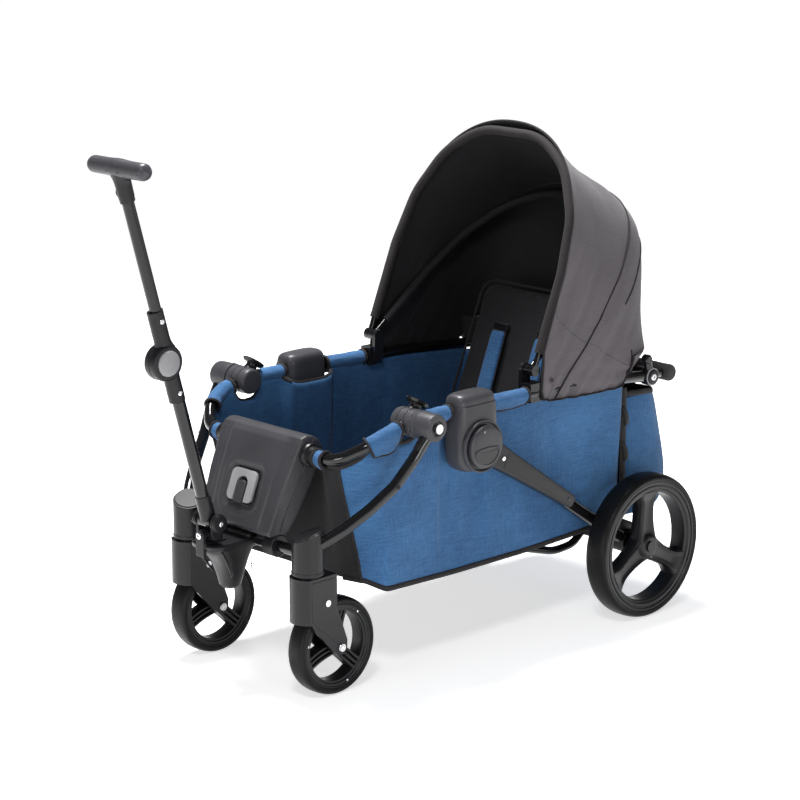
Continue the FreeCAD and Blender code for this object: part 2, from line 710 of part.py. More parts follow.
def rear_arms():
    """A round disc on each housing that grows into an arm and holds the rear leg tube."""
    arms = []
    dy, dz, length = rear_direction()
    along = math.degrees(math.atan2(dz, dy))
    for side in (1, -1):
        y, z = run(size("house_run")), size("house_pivot_z")
        disc = side_cylinder("arm_disc", size("disc_radius"), size("house_outer") + 1,
                             size("house_outer") + 1 + size("disc_thickness"), side, y, z)
        groove = side_cylinder("arm_groove", size("knob_radius") + 9, size("house_outer") + 5,
                               size("house_outer") + 12, side, y, z)
        plate_low = 263 if side > 0 else -270
        deep_low = 238 if side > 0 else -263.5
        outer = plate("arm_plate", arm_outline(dy, dz, 20, 262, 25, 19), plate_low, 7)
        deep = plate("arm_socket", arm_outline(dy, dz, 80, 262, 21, 17), deep_low, 25.5)
        bore = side_cylinder("arm_bore", 8 + 0.1, size("house_outer"), size("house_outer") + 12, side, y, z)
        leg_room = feature("arm_leg_room", rear_leg_shape(side, 0.05))
        grown = join("arm_solid", [cut("arm_ring", disc, groove), side_cylinder(
            "arm_floor", size("knob_radius") + 9.5, size("house_outer") + 1, size("house_outer") + 5, side, y, z), outer, deep])
        knob_room = side_cylinder("arm_knob_room", size("knob_radius") + 9, size("house_outer") + 5,
                                  size("house_outer") + 12, side, y, z)
        arms.append(cut_all("rear_arm", grown, [bore, leg_room, knob_room]))
    keep(group("rear_arms", arms), "rear_arms")


def arm_outline(dy, dz, start, end, start_half, end_half):
    """A tapering bar along the rear leg's line, seen from the side."""
    corners = []
    for distance, half in ((start, start_half), (end, end_half), (end, -end_half), (start, -start_half)):
        corners.append((run(num("house_run") + dy * distance - dz * half), dim(num("house_pivot_z") + dz * distance + dy * half)))
    return corners


def lock_knob(side):
    """The round grip that unlocks a rear leg, with a scooped lower half."""
    name = "lock_knob_left" if side > 0 else "lock_knob_right"
    y, z = run(size("house_run")), size("house_pivot_z")
    near = size("house_outer") + 5.4
    drum = side_cylinder(name + "_drum", size("knob_radius"), near, near + size("knob_height"), side, y, z)
    scoop = side_cylinder(name + "_scoop", 24, near + size("knob_height") - 6, near + size("knob_height") + 1, side,
                          run(size("house_run")), size("house_pivot_z") - 14)
    lid = side_block(name + "_lid", near + size("knob_height") - 7, near + size("knob_height") + 2, side,
                     run(size("house_run") - 40), 80, size("house_pivot_z") - 6, 60)
    keep(cut(name, drum, cut(name + "_bowl", scoop, lid)), name)


def rear_axle():
    """The cross beam with a drum at each end, and the steel rod that carries the wheels."""
    y, z = run(size("rear_axle_run")), size("rear_wheel_radius")
    beam = cylinder("beam_tube", size("rear_beam_radius"), 420, (-210, y, z), "X")
    drums = [side_cylinder("beam_drum", size("rear_hub_radius"), 200, 240, side, y, z) for side in (1, -1)]
    lugs = [side_block("beam_lug", 44, 52, side, run(size("rear_axle_run")), 38, 138, 14) for side in (1, -1)]
    solid = join("beam_solid", [beam] + drums + lugs)
    bore = cylinder("beam_bore", size("axle_rod_radius") + 0.02, 500, (-250, y, z), "X")
    rooms = [feature("beam_leg_room", rear_leg_shape(side, 0.05)) for side in (1, -1)]
    pedal_pin = cylinder("pedal_pin", 3, 104, (-52, run(size("rear_axle_run") + 30), 145), "X")
    keep(join("rear_axle_beam", [cut_all("beam_cut", solid, [bore] + rooms), pedal_pin]), "rear_axle_beam")
    rod = cylinder("rod", size("axle_rod_radius"), 580, (-290, y, z), "X")
    caps = [side_cylinder("rod_cap", 11, 290, 294, side, y, z) for side in (1, -1)]
    keep(join("rear_axle_rod", [rod] + caps), "rear_axle_rod")


def rear_stay():
    """A bent tube from the rear beam that runs forward under the basket's floor."""
    left = [vec(118, at(738), 146), vec(118, at(708), 121), vec(118, at(650), 118), vec(118, at(580), 138),
            vec(118, at(500), 164), vec(118, at(300), 167), vec(50, at(262), 167)]
    bar = feature("stay_bar", tube(both_sides(left), num("stay_radius"), 120))
    room = cylinder("stay_beam_room", size("rear_beam_radius") + 0.05, 300,
                    (-150, run(size("rear_axle_run")), size("rear_wheel_radius")), "X")
    keep(cut("rear_stay", bar, room), "rear_stay")


def brake_pedal():
    """A foot pedal across the middle of the rear beam."""
    y = run(size("rear_axle_run") + 30)
    boss = cylinder("pedal_boss", 8, 84, (-42, y, 145), "X")
    pad = block("pedal_pad", (-42, run(size("rear_axle_run") + 32), 141), (84, 48, 9))
    bore = cylinder("pedal_bore", 3.1, 90, (-45, y, 145), "X")
    keep(cut("brake_pedal", join("pedal_solid", [boss, pad]), bore), "brake_pedal")


# ---------------------------------------------------------------- pull handle

def handle_bracket():
    """A tapering bucket that hangs on the cross tube and carries two ears for the tilt pin."""
    height = size("bucket_top_z") - size("bucket_bottom_z")
    start = (0, run(size("bucket_run")), size("bucket_bottom_z"))
    outer = cone("bucket_outer", size("bucket_bottom_radius"), size("bucket_top_radius"), height, start)
    hollow = cone("bucket_hollow", size("bucket_bottom_radius") - 6, size("bucket_top_radius") - 4, height - 30,
                  (0, run(size("bucket_run")), size("bucket_bottom_z") + 30.01))
    rear = block("bucket_rear", (-30, run(-78), 262), (60, 28, 30))
    ears = [
        block("ear_front", (-10, run(-170), 262), (20, 7.5, 36)),
        block("ear_rear", (-10, run(-131), 262), (20, 8, 36)),
        cylinder("ear_front_eye", 10, 7.5, (0, run(-170), size("tilt_z")), "Y"),
        cylinder("ear_rear_eye", 10, 8, (0, run(-131), size("tilt_z")), "Y"),
        block("ear_bridge", (-10, run(-170), 256), (20, 50, 10)),
    ]
    pin = cylinder("tilt_pin", 4, 48, (0, run(-171.5), size("tilt_z")), "Y")
    head = cylinder("tilt_pin_head", 6.5, 3, (0, run(-173), size("tilt_z")), "Y")
    room = cylinder("bucket_tube_room", size("cross_tube_radius") + 0.05, 100,
                    (-50, run(size("cross_tube_run")), size("cross_tube_z")), "X")
    body = cut_all("bucket_cut", join("bucket_solid", [outer, rear]), [hollow, room])
    keep(join("handle_bracket", [body] + ears + [pin, head]), "handle_bracket")


def lean_turn():
    """The turn that takes +Z to the direction of the pull handle."""
    return FreeCAD.Rotation(vec(1, 0, 0), num("handle_lean"))


def handle_point(distance, x=0.0, ahead=0.0):
    """A point beside the handle's centre line, at a distance from its foot."""
    foot = vec(0, at(num("foot_run")), num("foot_z"))
    return foot + lean_turn().multVec(vec(x, -ahead, distance))


def handle_cylinder(name, radius, start, length):
    obj = doc.addObject("Part::Cylinder", name)
    bind(obj, Radius=radius, Height=length)
    obj.Placement = FreeCAD.Placement(handle_point(start), lean_turn())
    return obj


def handle_tilt_block():
    """The small yoke between the two handle pivots: it rocks on the tilt pin and holds the foot pin."""
    eye = cylinder("tilt_eye", 9.5, 30, (0, run(-161.8), size("tilt_z")), "Y")
    cheeks = [side_block("tilt_cheek", 17, 23, side, run(size("foot_run") - 11), 22, 298, 24) for side in (1, -1)]
    eyes = [side_cylinder("tilt_cheek_eye", 11, 17, 23, side, run(size("foot_run")), size("foot_z")) for side in (1, -1)]
    bridge = block("tilt_bridge", (-23, run(size("foot_run") - 9), 291), (46, 18, 12))
    foot_pin = cylinder("foot_pin", 4, 62, (-31, run(size("foot_run")), size("foot_z")), "X")
    wings = [side_cylinder("tilt_wing", radius, 23, 34, side, run(size("foot_run")), size("foot_z"))
             for side, radius in ((1, 15), (-1, 12))]
    solid = join("tilt_solid", [eye, bridge] + cheeks + eyes)
    bore = cylinder("tilt_bore", 4.1, 40, (0, run(-165), size("tilt_z")), "Y")
    drum_room = cylinder("tilt_drum_room", 14.6, 33.2, (-16.6, run(size("foot_run")), size("foot_z")), "X")
    bored = cut_all("tilt_bored", solid, [bore, drum_room])
    keep(join("handle_tilt_block", [bored, foot_pin] + wings), "handle_tilt_block")


def handle_lower():
    drum = cylinder("foot_drum", 14, 32, (-16, run(size("foot_run")), size("foot_z")), "X")
    tube_low = handle_cylinder("foot_tube", size("handle_tube_radius"), 8, 236)
    bore = cylinder("foot_bore", 4.1, 40, (-20, run(size("foot_run")), size("foot_z")), "X")
    keep(cut("handle_lower_tube", join("foot_solid", [drum, tube_low]), bore), "handle_lower_tube")


def mid_centre(x=0.0):
    return handle_point(num("mid_joint_length"), x, 11)


def mid_drum(name, radius, x_low, length):
    obj = doc.addObject("Part::Cylinder", name)
    bind(obj, Radius=radius, Height=length)
    obj.Placement = FreeCAD.Placement(mid_centre(x_low), AXIS_TURN["X"])
    return obj


def mid_joint(upper):
    """One half of the fold joint: half of the drum and a collar that holds a tube."""
    word = "upper" if upper else "lower"
    half = num("mid_joint_half")
    drum = mid_drum("mid_drum_" + word, size("mid_joint_radius"), 0.4 if upper else -half, half - 0.4)
    collar = doc.addObject("Part::Cylinder", "mid_collar_" + word)
    low = num("mid_joint_length") + 20 if upper else 244.1
    length = 62 if upper else 66
    bind(collar, Radius=size("handle_tube_radius") + 3, Height=length)
    collar.Placement = FreeCAD.Placement(handle_point(low), lean_turn())
    other = mid_drum("mid_other_" + word, size("mid_joint_radius") + 1.0, -half - 1 if upper else -0.4, half + 1.4)
    trimmed = cut("mid_collar_cut_" + word, collar, other)
    solid = join("mid_solid_" + word, [drum, trimmed])
    name = "mid_joint_" + word
    if upper:
        button_hole = mid_drum("mid_button_hole", size("mid_button_radius") + 0.3, half - 6, 8)
        keep(cut(name, solid, button_hole), name)
    else:
        keep(solid, name)


def handle_upper():
    start = num("mid_joint_length") + 82.2
    keep(handle_cylinder("handle_upper_tube", size("handle_tube_radius") - 1, start, size("handle_length") - 52 - start),
         "handle_upper_tube")


def mid_button():
    half = num("mid_joint_half")
    cap = mid_drum("mid_button_cap", size("mid_button_radius"), half - 2.0, 6)
    keep(cap, "mid_joint_button")


def handle_grip():
    """A round cross bar with domed ends on a tapering neck."""
    top = handle_point(num("handle_length"))
    half = num("grip_length") / 2 - num("grip_radius")
    bar = doc.addObject("Part::Cylinder", "grip_bar")
    bind(bar, Radius=size("grip_radius"), Height=size("grip_length") - size("grip_radius") * 2.0)
    bar.Placement = FreeCAD.Placement(top + vec(-half, 0, 0), AXIS_TURN["X"])
    ends = []
    for side in (1, -1):
        end = doc.addObject("Part::Sphere", "grip_end")
        bind(end, Radius=size("grip_radius"))
        end.Placement = FreeCAD.Placement(top + vec(half * side, 0, 0), FreeCAD.Rotation())
        ends.append(end)
    neck = doc.addObject("Part::Cone", "grip_neck")
    bind(neck, Radius1=size("handle_tube_radius") + 3, Radius2=19, Height=47)
    neck.Placement = FreeCAD.Placement(handle_point(num("handle_length") - 51.8), lean_turn())
    keep(join("handle_grip", [bar] + ends + [neck]), "handle_grip")


# ---------------------------------------------------------------- push handle

def push_hinges():
    bases = []
    for side in (1, -1):
        y, z = run(size("push_hinge_run")), size("push_hinge_z")
        drum = side_cylinder("push_base", 18, 214, 238, side, y, z)
        pin = side_cylinder("push_pin", 6, 194, 215, side, y, z)
        lug = side_block("push_lug", 217, 234, side, run(size("push_hinge_run") - 19), 20, 470, 32)
        lug_top = side_cylinder("push_lug_top", 10, 217, 234, side, run(size("push_hinge_run") - 9), 502)
        solid = join("push_base_solid", [drum, pin, lug, lug_top])
        bases.append(cut("push_base_cut", solid, rail_clearance("push_rail_room")))
    keep(group("push_hinge_bases", bases), "push_hinge_bases")


def push_arm(side, extra):
    """The short arm from a hinge's hub to the cross tube."""
    reach = num("push_bar_reach") - 4
    turn = FreeCAD.Rotation(vec(1, 0, 0), -90 - math.degrees(math.atan2(7, reach)))
    return cylinder("push_arm", size("push_bar_radius") + extra, math.hypot(reach, 7),
                    (dim(204 * side), run(size("push_hinge_run")), size("push_hinge_z")), "Z", turn)


def push_bar():
    """Two hubs, two short arms and the cross bar of the rear push handle."""
    arms = [push_arm(side, 0.0) for side in (1, -1)]
    cross = cylinder("push_cross_tube", size("push_bar_radius"), size("foam_half_length") * 2.0 - 6,
                     (-size("foam_half_length") + 3, run(size("push_hinge_run") + size("push_bar_reach") - 4),
                      size("push_hinge_z") - 7), "X")
    hubs = [side_cylinder("push_hub", 16, 195, 213, side, run(size("push_hinge_run")), size("push_hinge_z"))
            for side in (1, -1)]
    bores = [side_cylinder("push_bore", 6.1, 190, 214, side, run(size("push_hinge_run")), size("push_hinge_z"))
             for side in (1, -1)]
    keep(cut_all("push_handle_bar", join("push_solid", [cross] + arms + hubs), bores), "push_handle_bar")


def push_foam():
    y = run(size("push_hinge_run") + size("push_bar_reach") - 4)
    length = size("foam_half_length") * 2.0
    outer = cylinder("foam_outer", size("foam_radius"), length, (-size("foam_half_length"), y, size("push_hinge_z") - 7), "X")
    inner = cylinder("foam_inner", size("push_bar_radius") + 0.05, length - 5.8,
                     (-size("foam_half_length") + 2.9, y, size("push_hinge_z") - 7), "X")
    arms = [push_arm(side, 0.05) for side in (1, -1)]
    keep(cut_all("push_handle_foam", outer, [inner] + arms), "push_handle_foam")


# ---------------------------------------------------------------- canopy

def bow_points(x, tilt):
    """The left half of a canopy bow, in its leaning plane through the pivot line."""
    lean = math.radians(tilt)
    height = num("bow_height")
    outline = [(x, 7), (x, height * 0.42), (x * 0.93, height * 0.66), (x * 0.72, height * 0.86),
               (x * 0.36, height * 0.985)]
    return [vec(across, at(num("clamp_run")) + up * math.sin(lean), num("bow_pivot_z") + up * math.cos(lean))
            for across, up in outline]


def canopy_bow(name, tilt, near, far):
    """A bent tube that begins a little above an eye at each foot."""
    middle = (near + far) / 2.0
    bar = feature(name + "_tube", tube(both_sides(bow_points(middle, tilt)), num("bow_radius"), 140))
    eyes = [side_cylinder(name + "_eye", 11, near, far, side, run(size("clamp_run")), size("bow_pivot_z")) for side in (1, -1)]
    bores = [side_cylinder(name + "_bore", 4.1, near - 5, far + 5, side, run(size("clamp_run")), size("bow_pivot_z"))
             for side in (1, -1)]
    keep(cut_all(name, join(name + "_solid", [bar] + eyes), bores), name)


def canopy_clamps():
    """A clamp on each rail with the pivot pin of the two bows."""
    clamps = []
    for side in (1, -1):
        block_low = side_block("clamp_block", 205, 232, side, run(size("clamp_run") - 16), 32, 476, 36)
        cheek = side_block("clamp_cheek", 196, 204, side, run(size("clamp_run") - 12), 24, 490, 46)
        foot = side_block("clamp_foot", 196, 210, side, run(size("clamp_run") - 12), 24, 486, 18)
        eye = side_cylinder("clamp_eye", 12, 196, 204, side, run(size("clamp_run")), size("bow_pivot_z"))
        pin = side_cylinder("clamp_pin", 4, 200, 229, side, run(size("clamp_run")), size("bow_pivot_z"))
        solid = join("clamp_solid", [block_low, cheek, foot, eye, pin])
        clamps.append(cut("canopy_clamp", solid, rail_clearance("clamp_rail_room")))
    keep(group("canopy_clamps", clamps), "canopy_clamps")


CANOPY_SECTIONS = [
    # run and height of the hem, run and height of the top, half width, all of the outer skin
    (486, 480, 650, 967, 237.5),
    (600, 474, 800, 866, 238.0),
    (700, 474, 876, 768, 238.0),
    (768, 494, 879, 640, 237.5),
]


def between(first, second, share):
    """The section at a share of the way from one to the next; a share below 0 carries on before the first."""
    return tuple(a + (b - a) * share for a, b in zip(first, second))


def arch(half, rise, power=2.9, steps=16):
    """The left half of an arch with upright sides, from its foot to its top, as (x, rise) pairs."""
    points = []
    for i in range(steps + 1):
        angle = math.pi / 2 * i / steps
        points.append((half * math.cos(angle) ** (2 / power), rise * math.sin(angle) ** (2 / power)))
    return points


def canopy_section(row, inset, below=0.0):
    """A closed arch in the plane through its hem and top, its foot carried down by below."""
    hem_run, hem_z, top_run, top_z, half = row
    low = vec(0, at(hem_run), hem_z)
    up = vec(0, at(top_run), top_z) - low
    rise = up.Length - inset
    up.normalize()
    left = [low + vec(across, 0, 0) + up * lift for across, lift in arch(half - inset, rise)]
    foot = left[0] - up * below
    curve = Part.BSplineCurve()
    curve.interpolate(left + mirrored(left[-2::-1]))
    right_foot = vec(-foot.x, foot.y, foot.z)
    edges = [curve.toShape()]
    if below > 0:
        edges += [Part.LineSegment(vec(-left[0].x, left[0].y, left[0].z), right_foot).toShape()]
    edges += [Part.LineSegment(right_foot, foot).toShape()]
    if below > 0:
        edges += [Part.LineSegment(foot, left[0]).toShape()]
    return Part.Wire(edges)


def canopy():
    """One skin over both bows, open at the front and below, closed by a sloping back."""
    skin = num("canopy_fabric")
    rows = CANOPY_SECTIONS
    outer = Part.makeLoft([canopy_section(row, 0) for row in rows], True, True)
    inner_rows = [between(rows[0], rows[1], -0.4)] + rows[:-1] + [between(rows[-2], rows[-1], 0.94)]
    inner = Part.makeLoft([canopy_section(row, skin, 60) for row in inner_rows], True, True)
    keep(feature("canopy_fabric", outer.cut(inner)), "canopy_fabric")


# ---------------------------------------------------------------- basket and seat

def basket_side(inset):
    """The basket from the side: its top edge follows the rail."""
    return [
        (run(22 + inset), dim(419)), (run(60 + inset), dim(447)), (run(95), dim(469)), (run(140), dim(481)),
        (run(300), dim(481)), (run(560), dim(473)), (run(size("basket_rear_run") - inset), dim(461)),
        (run(size("basket_rear_run") - inset), size("basket_bottom") + inset),
        (run(110), size("basket_bottom") + inset), (run(52 + inset), dim(210 + inset)),
    ]


def basket_plan(inset):
    half = num("basket_half_width") - inset
    rear = at(num("basket_rear_run") - inset)
    corner = 34
    left = [vec(half - corner, rear, 0), vec(half, rear - corner, 0), vec(half, at(90), 0), vec(half - 20, at(50 + inset), 0),
            vec(150, at(26 + inset), 0), vec(118 + inset, at(22 + inset), 0), vec(112 + inset, at(48 + inset), 0)]
    return left


def basket_solid(name, inset, raised):
    outline = basket_plan(inset)
    loop = outline + mirrored(outline[::-1]) + [outline[0]]
    face = Part.Face(Part.makePolygon(loop))
    column = face.extrude(vec(0, 0, 700))
    profile = [(a.value, b.value + (60 if raised and b.value > 400 else 0)) for a, b in
               [(dim(a), dim(b)) for a, b in basket_side(inset)]]
    points = [vec(-300, y, z) for y, z in profile]
    side = Part.Face(Part.makePolygon(points + [points[0]])).extrude(vec(600, 0, 0))
    return column.common(side)


def basket():
    """The fabric tub under the rail, open at the top, with room for what the rail carries."""
    shell = basket_solid("outer", 0.0, False).cut(basket_solid("inner", num("fabric"), True))
    for side in (1, -1):
        low = 196 if side > 0 else -256
        shell = shell.cut(Part.makeBox(60, 60, 60, vec(low, at(108), 468)))
        shell = shell.cut(Part.makeBox(60, 116, 160, vec(low + 8 * side, at(233), 381)))
        shell = shell.cut(Part.makeBox(60, 36, 60, vec(low - 5 * side, at(453), 472)))
    keep(feature("basket", shell.Solids[0] if len(shell.Solids) == 1 else shell), "basket")


def floor_board():
    """A stiff board with a pad in front of the seat that cargo or feet stand on."""
    base = size("basket_bottom") + size("fabric") + 0.5
    board = block("floor_plate", (-190, run(118), base), (380, 598, 8))
    pad = block("floor_pad", (-174, run(128), base + 7), (348, 190, 2))
    keep(join("floor_board", [board, pad]), "floor_board")


def seat_turn():
    """The turn that leans the seat back."""
    return FreeCAD.Rotation(vec(1, 0, 0), -num("seat_lean"))


def seat():
    base = size("basket_bottom") + size("fabric") + 9.5
    half = size("seat_half_width")
    cushion = block("seat_cushion", (-half, run(330), base), (half * 2.0, 230, 92))
    keep(cushion, "seat_cushion")
    turn = seat_turn()
    outline = [vec(-num("seat_half_width"), 0, 0), vec(num("seat_half_width"), 0, 0),
               vec(num("seat_top_half_width"), 0, 440), vec(-num("seat_top_half_width"), 0, 440)]
    face = Part.Face(Part.makePolygon(outline + outline[:1]))
    slab = feature("seat_slab", face.extrude(vec(0, 34, 0)))
    across = [edge for edge in slab.Shape.Edges if edge.BoundBox.YLength > 30 and edge.BoundBox.ZMin > 400]
    slab.Shape = slab.Shape.makeFillet(34.0, across)
    slab.Placement = FreeCAD.Placement(vec(0, at(num("seat_back_run")), 212), turn)
    keep(slab, "seat_back")


def harness():
    """Two shoulder straps with pads, in front of the seat back."""
    turn = seat_turn()
    straps = []
    for side in (1, -1):
        strap = doc.addObject("Part::Box", "harness_strap")
        bind(strap, Length=36, Width=9, Height=285)
        offset = turn.multVec(vec(-18 + 59 * side, -9.6, 105))
        strap.Placement = FreeCAD.Placement(vec(0, at(num("seat_back_run")), 212) + offset, turn)
        straps.append(strap)
    keep(group("harness", straps), "harness")


def rear_pocket():
    """A hanging pocket behind the basket, deeper at the bottom."""
    outline = [(run(750), dim(180)), (run(750), dim(428)), (run(858), dim(424)), (run(897), dim(262)), (run(880), dim(196))]
    inner = [(run(754), dim(186)), (run(754), dim(480)), (run(852), dim(480)), (run(854), dim(424)), (run(894), dim(264)), (run(876), dim(201))]
    outer_solid = plate("pocket_outer", outline, -204, 408)
    inner_solid = plate("pocket_inner", inner, -200, 400)
    keep(cut("rear_pocket", outer_solid, inner_solid), "rear_pocket")


def rail_sleeves():
    """Fabric sleeves that wrap the rail: at the box, at the corner, beside the hinges and behind the housing."""
    thick = num("sleeve_thickness")
    outer = rail_shape(thick + 0.15)
    hollow = rail_shape(0.15)
    skin = outer.cut(hollow)
    windows = [(113, 150, -40, 60), (150, 260, 42, 110), (205, 260, 166, 233), (205, 260, 350, 452)]
    pieces = []
    for near, far, start, end in windows:
        for side in (1, -1):
            low = near if side > 0 else -far
            window = Part.makeBox(far - near, end - start, 160, vec(low, at(start), 400))
            pieces += skin.common(window).Solids
    keep(feature("rail_sleeves", Part.makeCompound(pieces)), "rail_sleeves")


def build():
    top_rail()
    rail_t_joints()
    pivot_bolts()
    for side in (1, -1):
        hinge_housing(side)
    front_box()
    box_button()
    for side in (1, -1):
        front_leg(side)
    leg_hubs()
    accessory_adaptors()
    for side in (1, -1):
        caster_housing(side)
        caster_fork(side)
        caster_hardware(side)
        rear_leg(side)
        lock_knob(side)
    cross_tube()
    handle_bracket()
    handle_tilt_block()
    handle_lower()
    mid_joint(False)
    mid_joint(True)
    mid_button()
    handle_upper()
    handle_grip()
    wheels()
    rear_arms()
    rear_axle()
    rear_stay()
    brake_pedal()
    push_hinges()
    push_bar()
    push_foam()
    canopy_clamps()
    canopy_bow("canopy_front_bow", num("front_bow_tilt"), 218.5, 229.5)
    canopy_bow("canopy_mid_bow", num("mid_bow_tilt"), 206.5, 217.5)
    canopy()
    basket()
    floor_board()
    seat()
    harness()
    rear_pocket()
    rail_sleeves()


def check_and_export():
    doc.recompute()
    for obj in doc.Objects:
        if "Invalid" in obj.State or "Error" in obj.State:
            raise RuntimeError("%s did not recompute: %s" % (obj.Label, obj.State))
    os.makedirs("parts", exist_ok=True)
    for node in NODES:
        shape = node.Shape
        if shape.isNull() or not shape.isValid() or not shape.Solids:
            raise RuntimeError("%s has no valid solid" % node.Label)
        if len(node.Label) >= 60:
            raise RuntimeError("%s has too long a name" % node.Label)
        shape.exportStep("parts/%s.step" % node.Label)


build()
check_and_export()
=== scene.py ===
import json
import math
import bmesh
import bpy
from mathutils import Matrix, Vector, noise

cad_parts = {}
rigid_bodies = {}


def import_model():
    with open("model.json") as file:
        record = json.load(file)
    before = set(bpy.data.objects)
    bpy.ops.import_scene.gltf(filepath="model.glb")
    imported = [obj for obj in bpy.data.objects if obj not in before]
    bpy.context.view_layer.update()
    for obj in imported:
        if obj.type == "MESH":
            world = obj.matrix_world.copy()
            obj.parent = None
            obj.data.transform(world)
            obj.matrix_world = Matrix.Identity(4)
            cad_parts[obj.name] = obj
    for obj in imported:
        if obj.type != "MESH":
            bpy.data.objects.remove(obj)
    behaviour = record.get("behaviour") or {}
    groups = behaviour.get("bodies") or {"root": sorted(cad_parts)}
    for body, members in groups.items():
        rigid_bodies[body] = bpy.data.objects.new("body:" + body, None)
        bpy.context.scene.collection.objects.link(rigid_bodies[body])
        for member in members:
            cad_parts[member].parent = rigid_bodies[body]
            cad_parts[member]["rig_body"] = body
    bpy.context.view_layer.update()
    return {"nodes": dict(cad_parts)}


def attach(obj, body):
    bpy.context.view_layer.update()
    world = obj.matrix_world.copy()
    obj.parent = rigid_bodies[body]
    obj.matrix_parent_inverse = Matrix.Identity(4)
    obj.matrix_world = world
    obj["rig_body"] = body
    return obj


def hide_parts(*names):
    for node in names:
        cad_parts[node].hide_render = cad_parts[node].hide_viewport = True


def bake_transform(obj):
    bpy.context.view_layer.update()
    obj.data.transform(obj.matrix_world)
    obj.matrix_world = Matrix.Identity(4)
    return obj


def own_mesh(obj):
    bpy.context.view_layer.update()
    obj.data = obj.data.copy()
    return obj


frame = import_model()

NODES = frame["nodes"]
FRONT_AXLE_Y = -0.273
MM = 0.001
SIDES = ((1, "left"), (-1, "right"))

# Places in mm: a run is a distance behind the front axle, a track half is a distance from the middle.
FRONT_TRACK_HALF, FRONT_RADIUS = 165, 92
REAR_TRACK_HALF, REAR_RUN, REAR_RADIUS = 269, 744, 145
SWIVEL_RUN = -56
HOUSE_RUN, HOUSE_Z = 291, 430
HINGE_RUN, HINGE_Z = 138, 497
FOOT_RUN, FOOT_Z = -147, 322
PUSH_RUN, PUSH_Z = 806, 469
BOW_RUN, BOW_Z = 471, 536
FRONT_BOW_TILT, MIDDLE_BOW_TILT = 22.5, 54.0
SEAT_LEAN = 20.5


def at(distance):
    """The Y position, in metres, of a distance in mm behind the front axle."""
    return FRONT_AXLE_Y + distance * MM


def pt(x, distance, z):
    """A point from mm: across, behind the front axle, above the ground."""
    return Vector((x * MM, at(distance), z * MM))


# ---------------------------------------------------------------- camera and light

CAMERA_AZIMUTH, CAMERA_ELEVATION, CAMERA_LENS = 45.60, 14.03, 122.9
CAMERA_PLACE = (3.6286, -3.4894, 1.7312)


def make_camera():
    """A long lens at the photograph's viewing angle, square on to the direction that it looks in."""
    data = bpy.data.cameras.new("camera")
    data.lens = CAMERA_LENS
    data.sensor_width = 36.0
    data.clip_end = 60.0
    camera = bpy.data.objects.new("camera", data)
    bpy.context.scene.collection.objects.link(camera)
    azimuth, elevation = math.radians(CAMERA_AZIMUTH), math.radians(CAMERA_ELEVATION)
    back = Vector((math.cos(elevation) * math.sin(azimuth),
                   -math.cos(elevation) * math.cos(azimuth), math.sin(elevation)))
    camera.location = CAMERA_PLACE
    camera.rotation_euler = (-back).to_track_quat("-Z", "Y").to_euler()
    bpy.context.scene.camera = camera


def area_light(name, place, target, size, power, size_y=None):
    data = bpy.data.lights.new(name, "AREA")
    data.energy = power
    data.size = size
    if size_y:
        data.shape = "RECTANGLE"
        data.size_y = size_y
    light = bpy.data.objects.new(name, data)
    bpy.context.scene.collection.objects.link(light)
    light.location = place
    light.rotation_euler = (Vector(target) - Vector(place)).to_track_quat("-Z", "Y").to_euler()


def make_studio():
    world = bpy.data.worlds.new("studio")
    bpy.context.scene.world = world
    world.use_nodes = True
    tree = world.node_tree
    background = tree.nodes["Background"]
    background.inputs["Strength"].default_value = 1.0
    direction = tree.nodes.new("ShaderNodeTexCoord")
    split = tree.nodes.new("ShaderNodeSeparateXYZ")
    tree.links.new(direction.outputs["Generated"], split.inputs["Vector"])
    sky = ramp(tree, split.outputs["Z"],
               [(0.0, (1.02, 1.02, 1.02)), (0.03, (0.8, 0.8, 0.8)), (0.22, (0.15, 0.15, 0.16)),
                                          (1.0, (0.13, 0.13, 0.14))])
    tree.links.new(sky, background.inputs["Color"])
    area_light("side", (4.4, -1.0, 0.75), (0, 0, 0.35), 1.3, 42)
    area_light("front", (0.4, -4.4, 0.9), (0, 0, 0.35), 1.2, 40)
    area_light("top", (-0.7, 0.2, 3.3), (0, 0, 0.5), 1.0, 210)
    area_light("key", (2.0, -2.4, 3.4), (0, 0, 0.4), 0.7, 50)
    mesh = bpy.data.meshes.new("floor")
    mesh.from_pydata([(-3, -3, 0), (3, -3, 0), (3, 3, 0), (-3, 3, 0)], [], [(0, 1, 2, 3)])
    floor = bpy.data.objects.new("floor", mesh)
    bpy.context.scene.collection.objects.link(floor)
    material, tree, shader = new_material("floor_white", (0.90, 0.90, 0.90), 0.9, specular=0.0)
    shader.inputs["Emission Color"].default_value = (1.0, 1.0, 1.0, 1.0)
    shader.inputs["Emission Strength"].default_value = 0.60
    mesh.materials.append(material)
    bpy.context.scene.view_settings.view_transform = "Standard"


# ---------------------------------------------------------------- materials

def new_material(name, color, rough, metallic=0.0, coat=0.0, sheen=0.0, specular=0.5):
    material = bpy.data.materials.new(name)
    material.use_nodes = True
    tree = material.node_tree
    shader = tree.nodes["Principled BSDF"]
    shader.inputs["Base Color"].default_value = (*color, 1.0)
    shader.inputs["Roughness"].default_value = rough
    shader.inputs["Metallic"].default_value = metallic
    shader.inputs["Coat Weight"].default_value = coat
    shader.inputs["Coat Roughness"].default_value = 0.08
    shader.inputs["Sheen Weight"].default_value = sheen
    shader.inputs["Sheen Roughness"].default_value = 0.45
    shader.inputs["Specular IOR Level"].default_value = specular
    return material, tree, shader


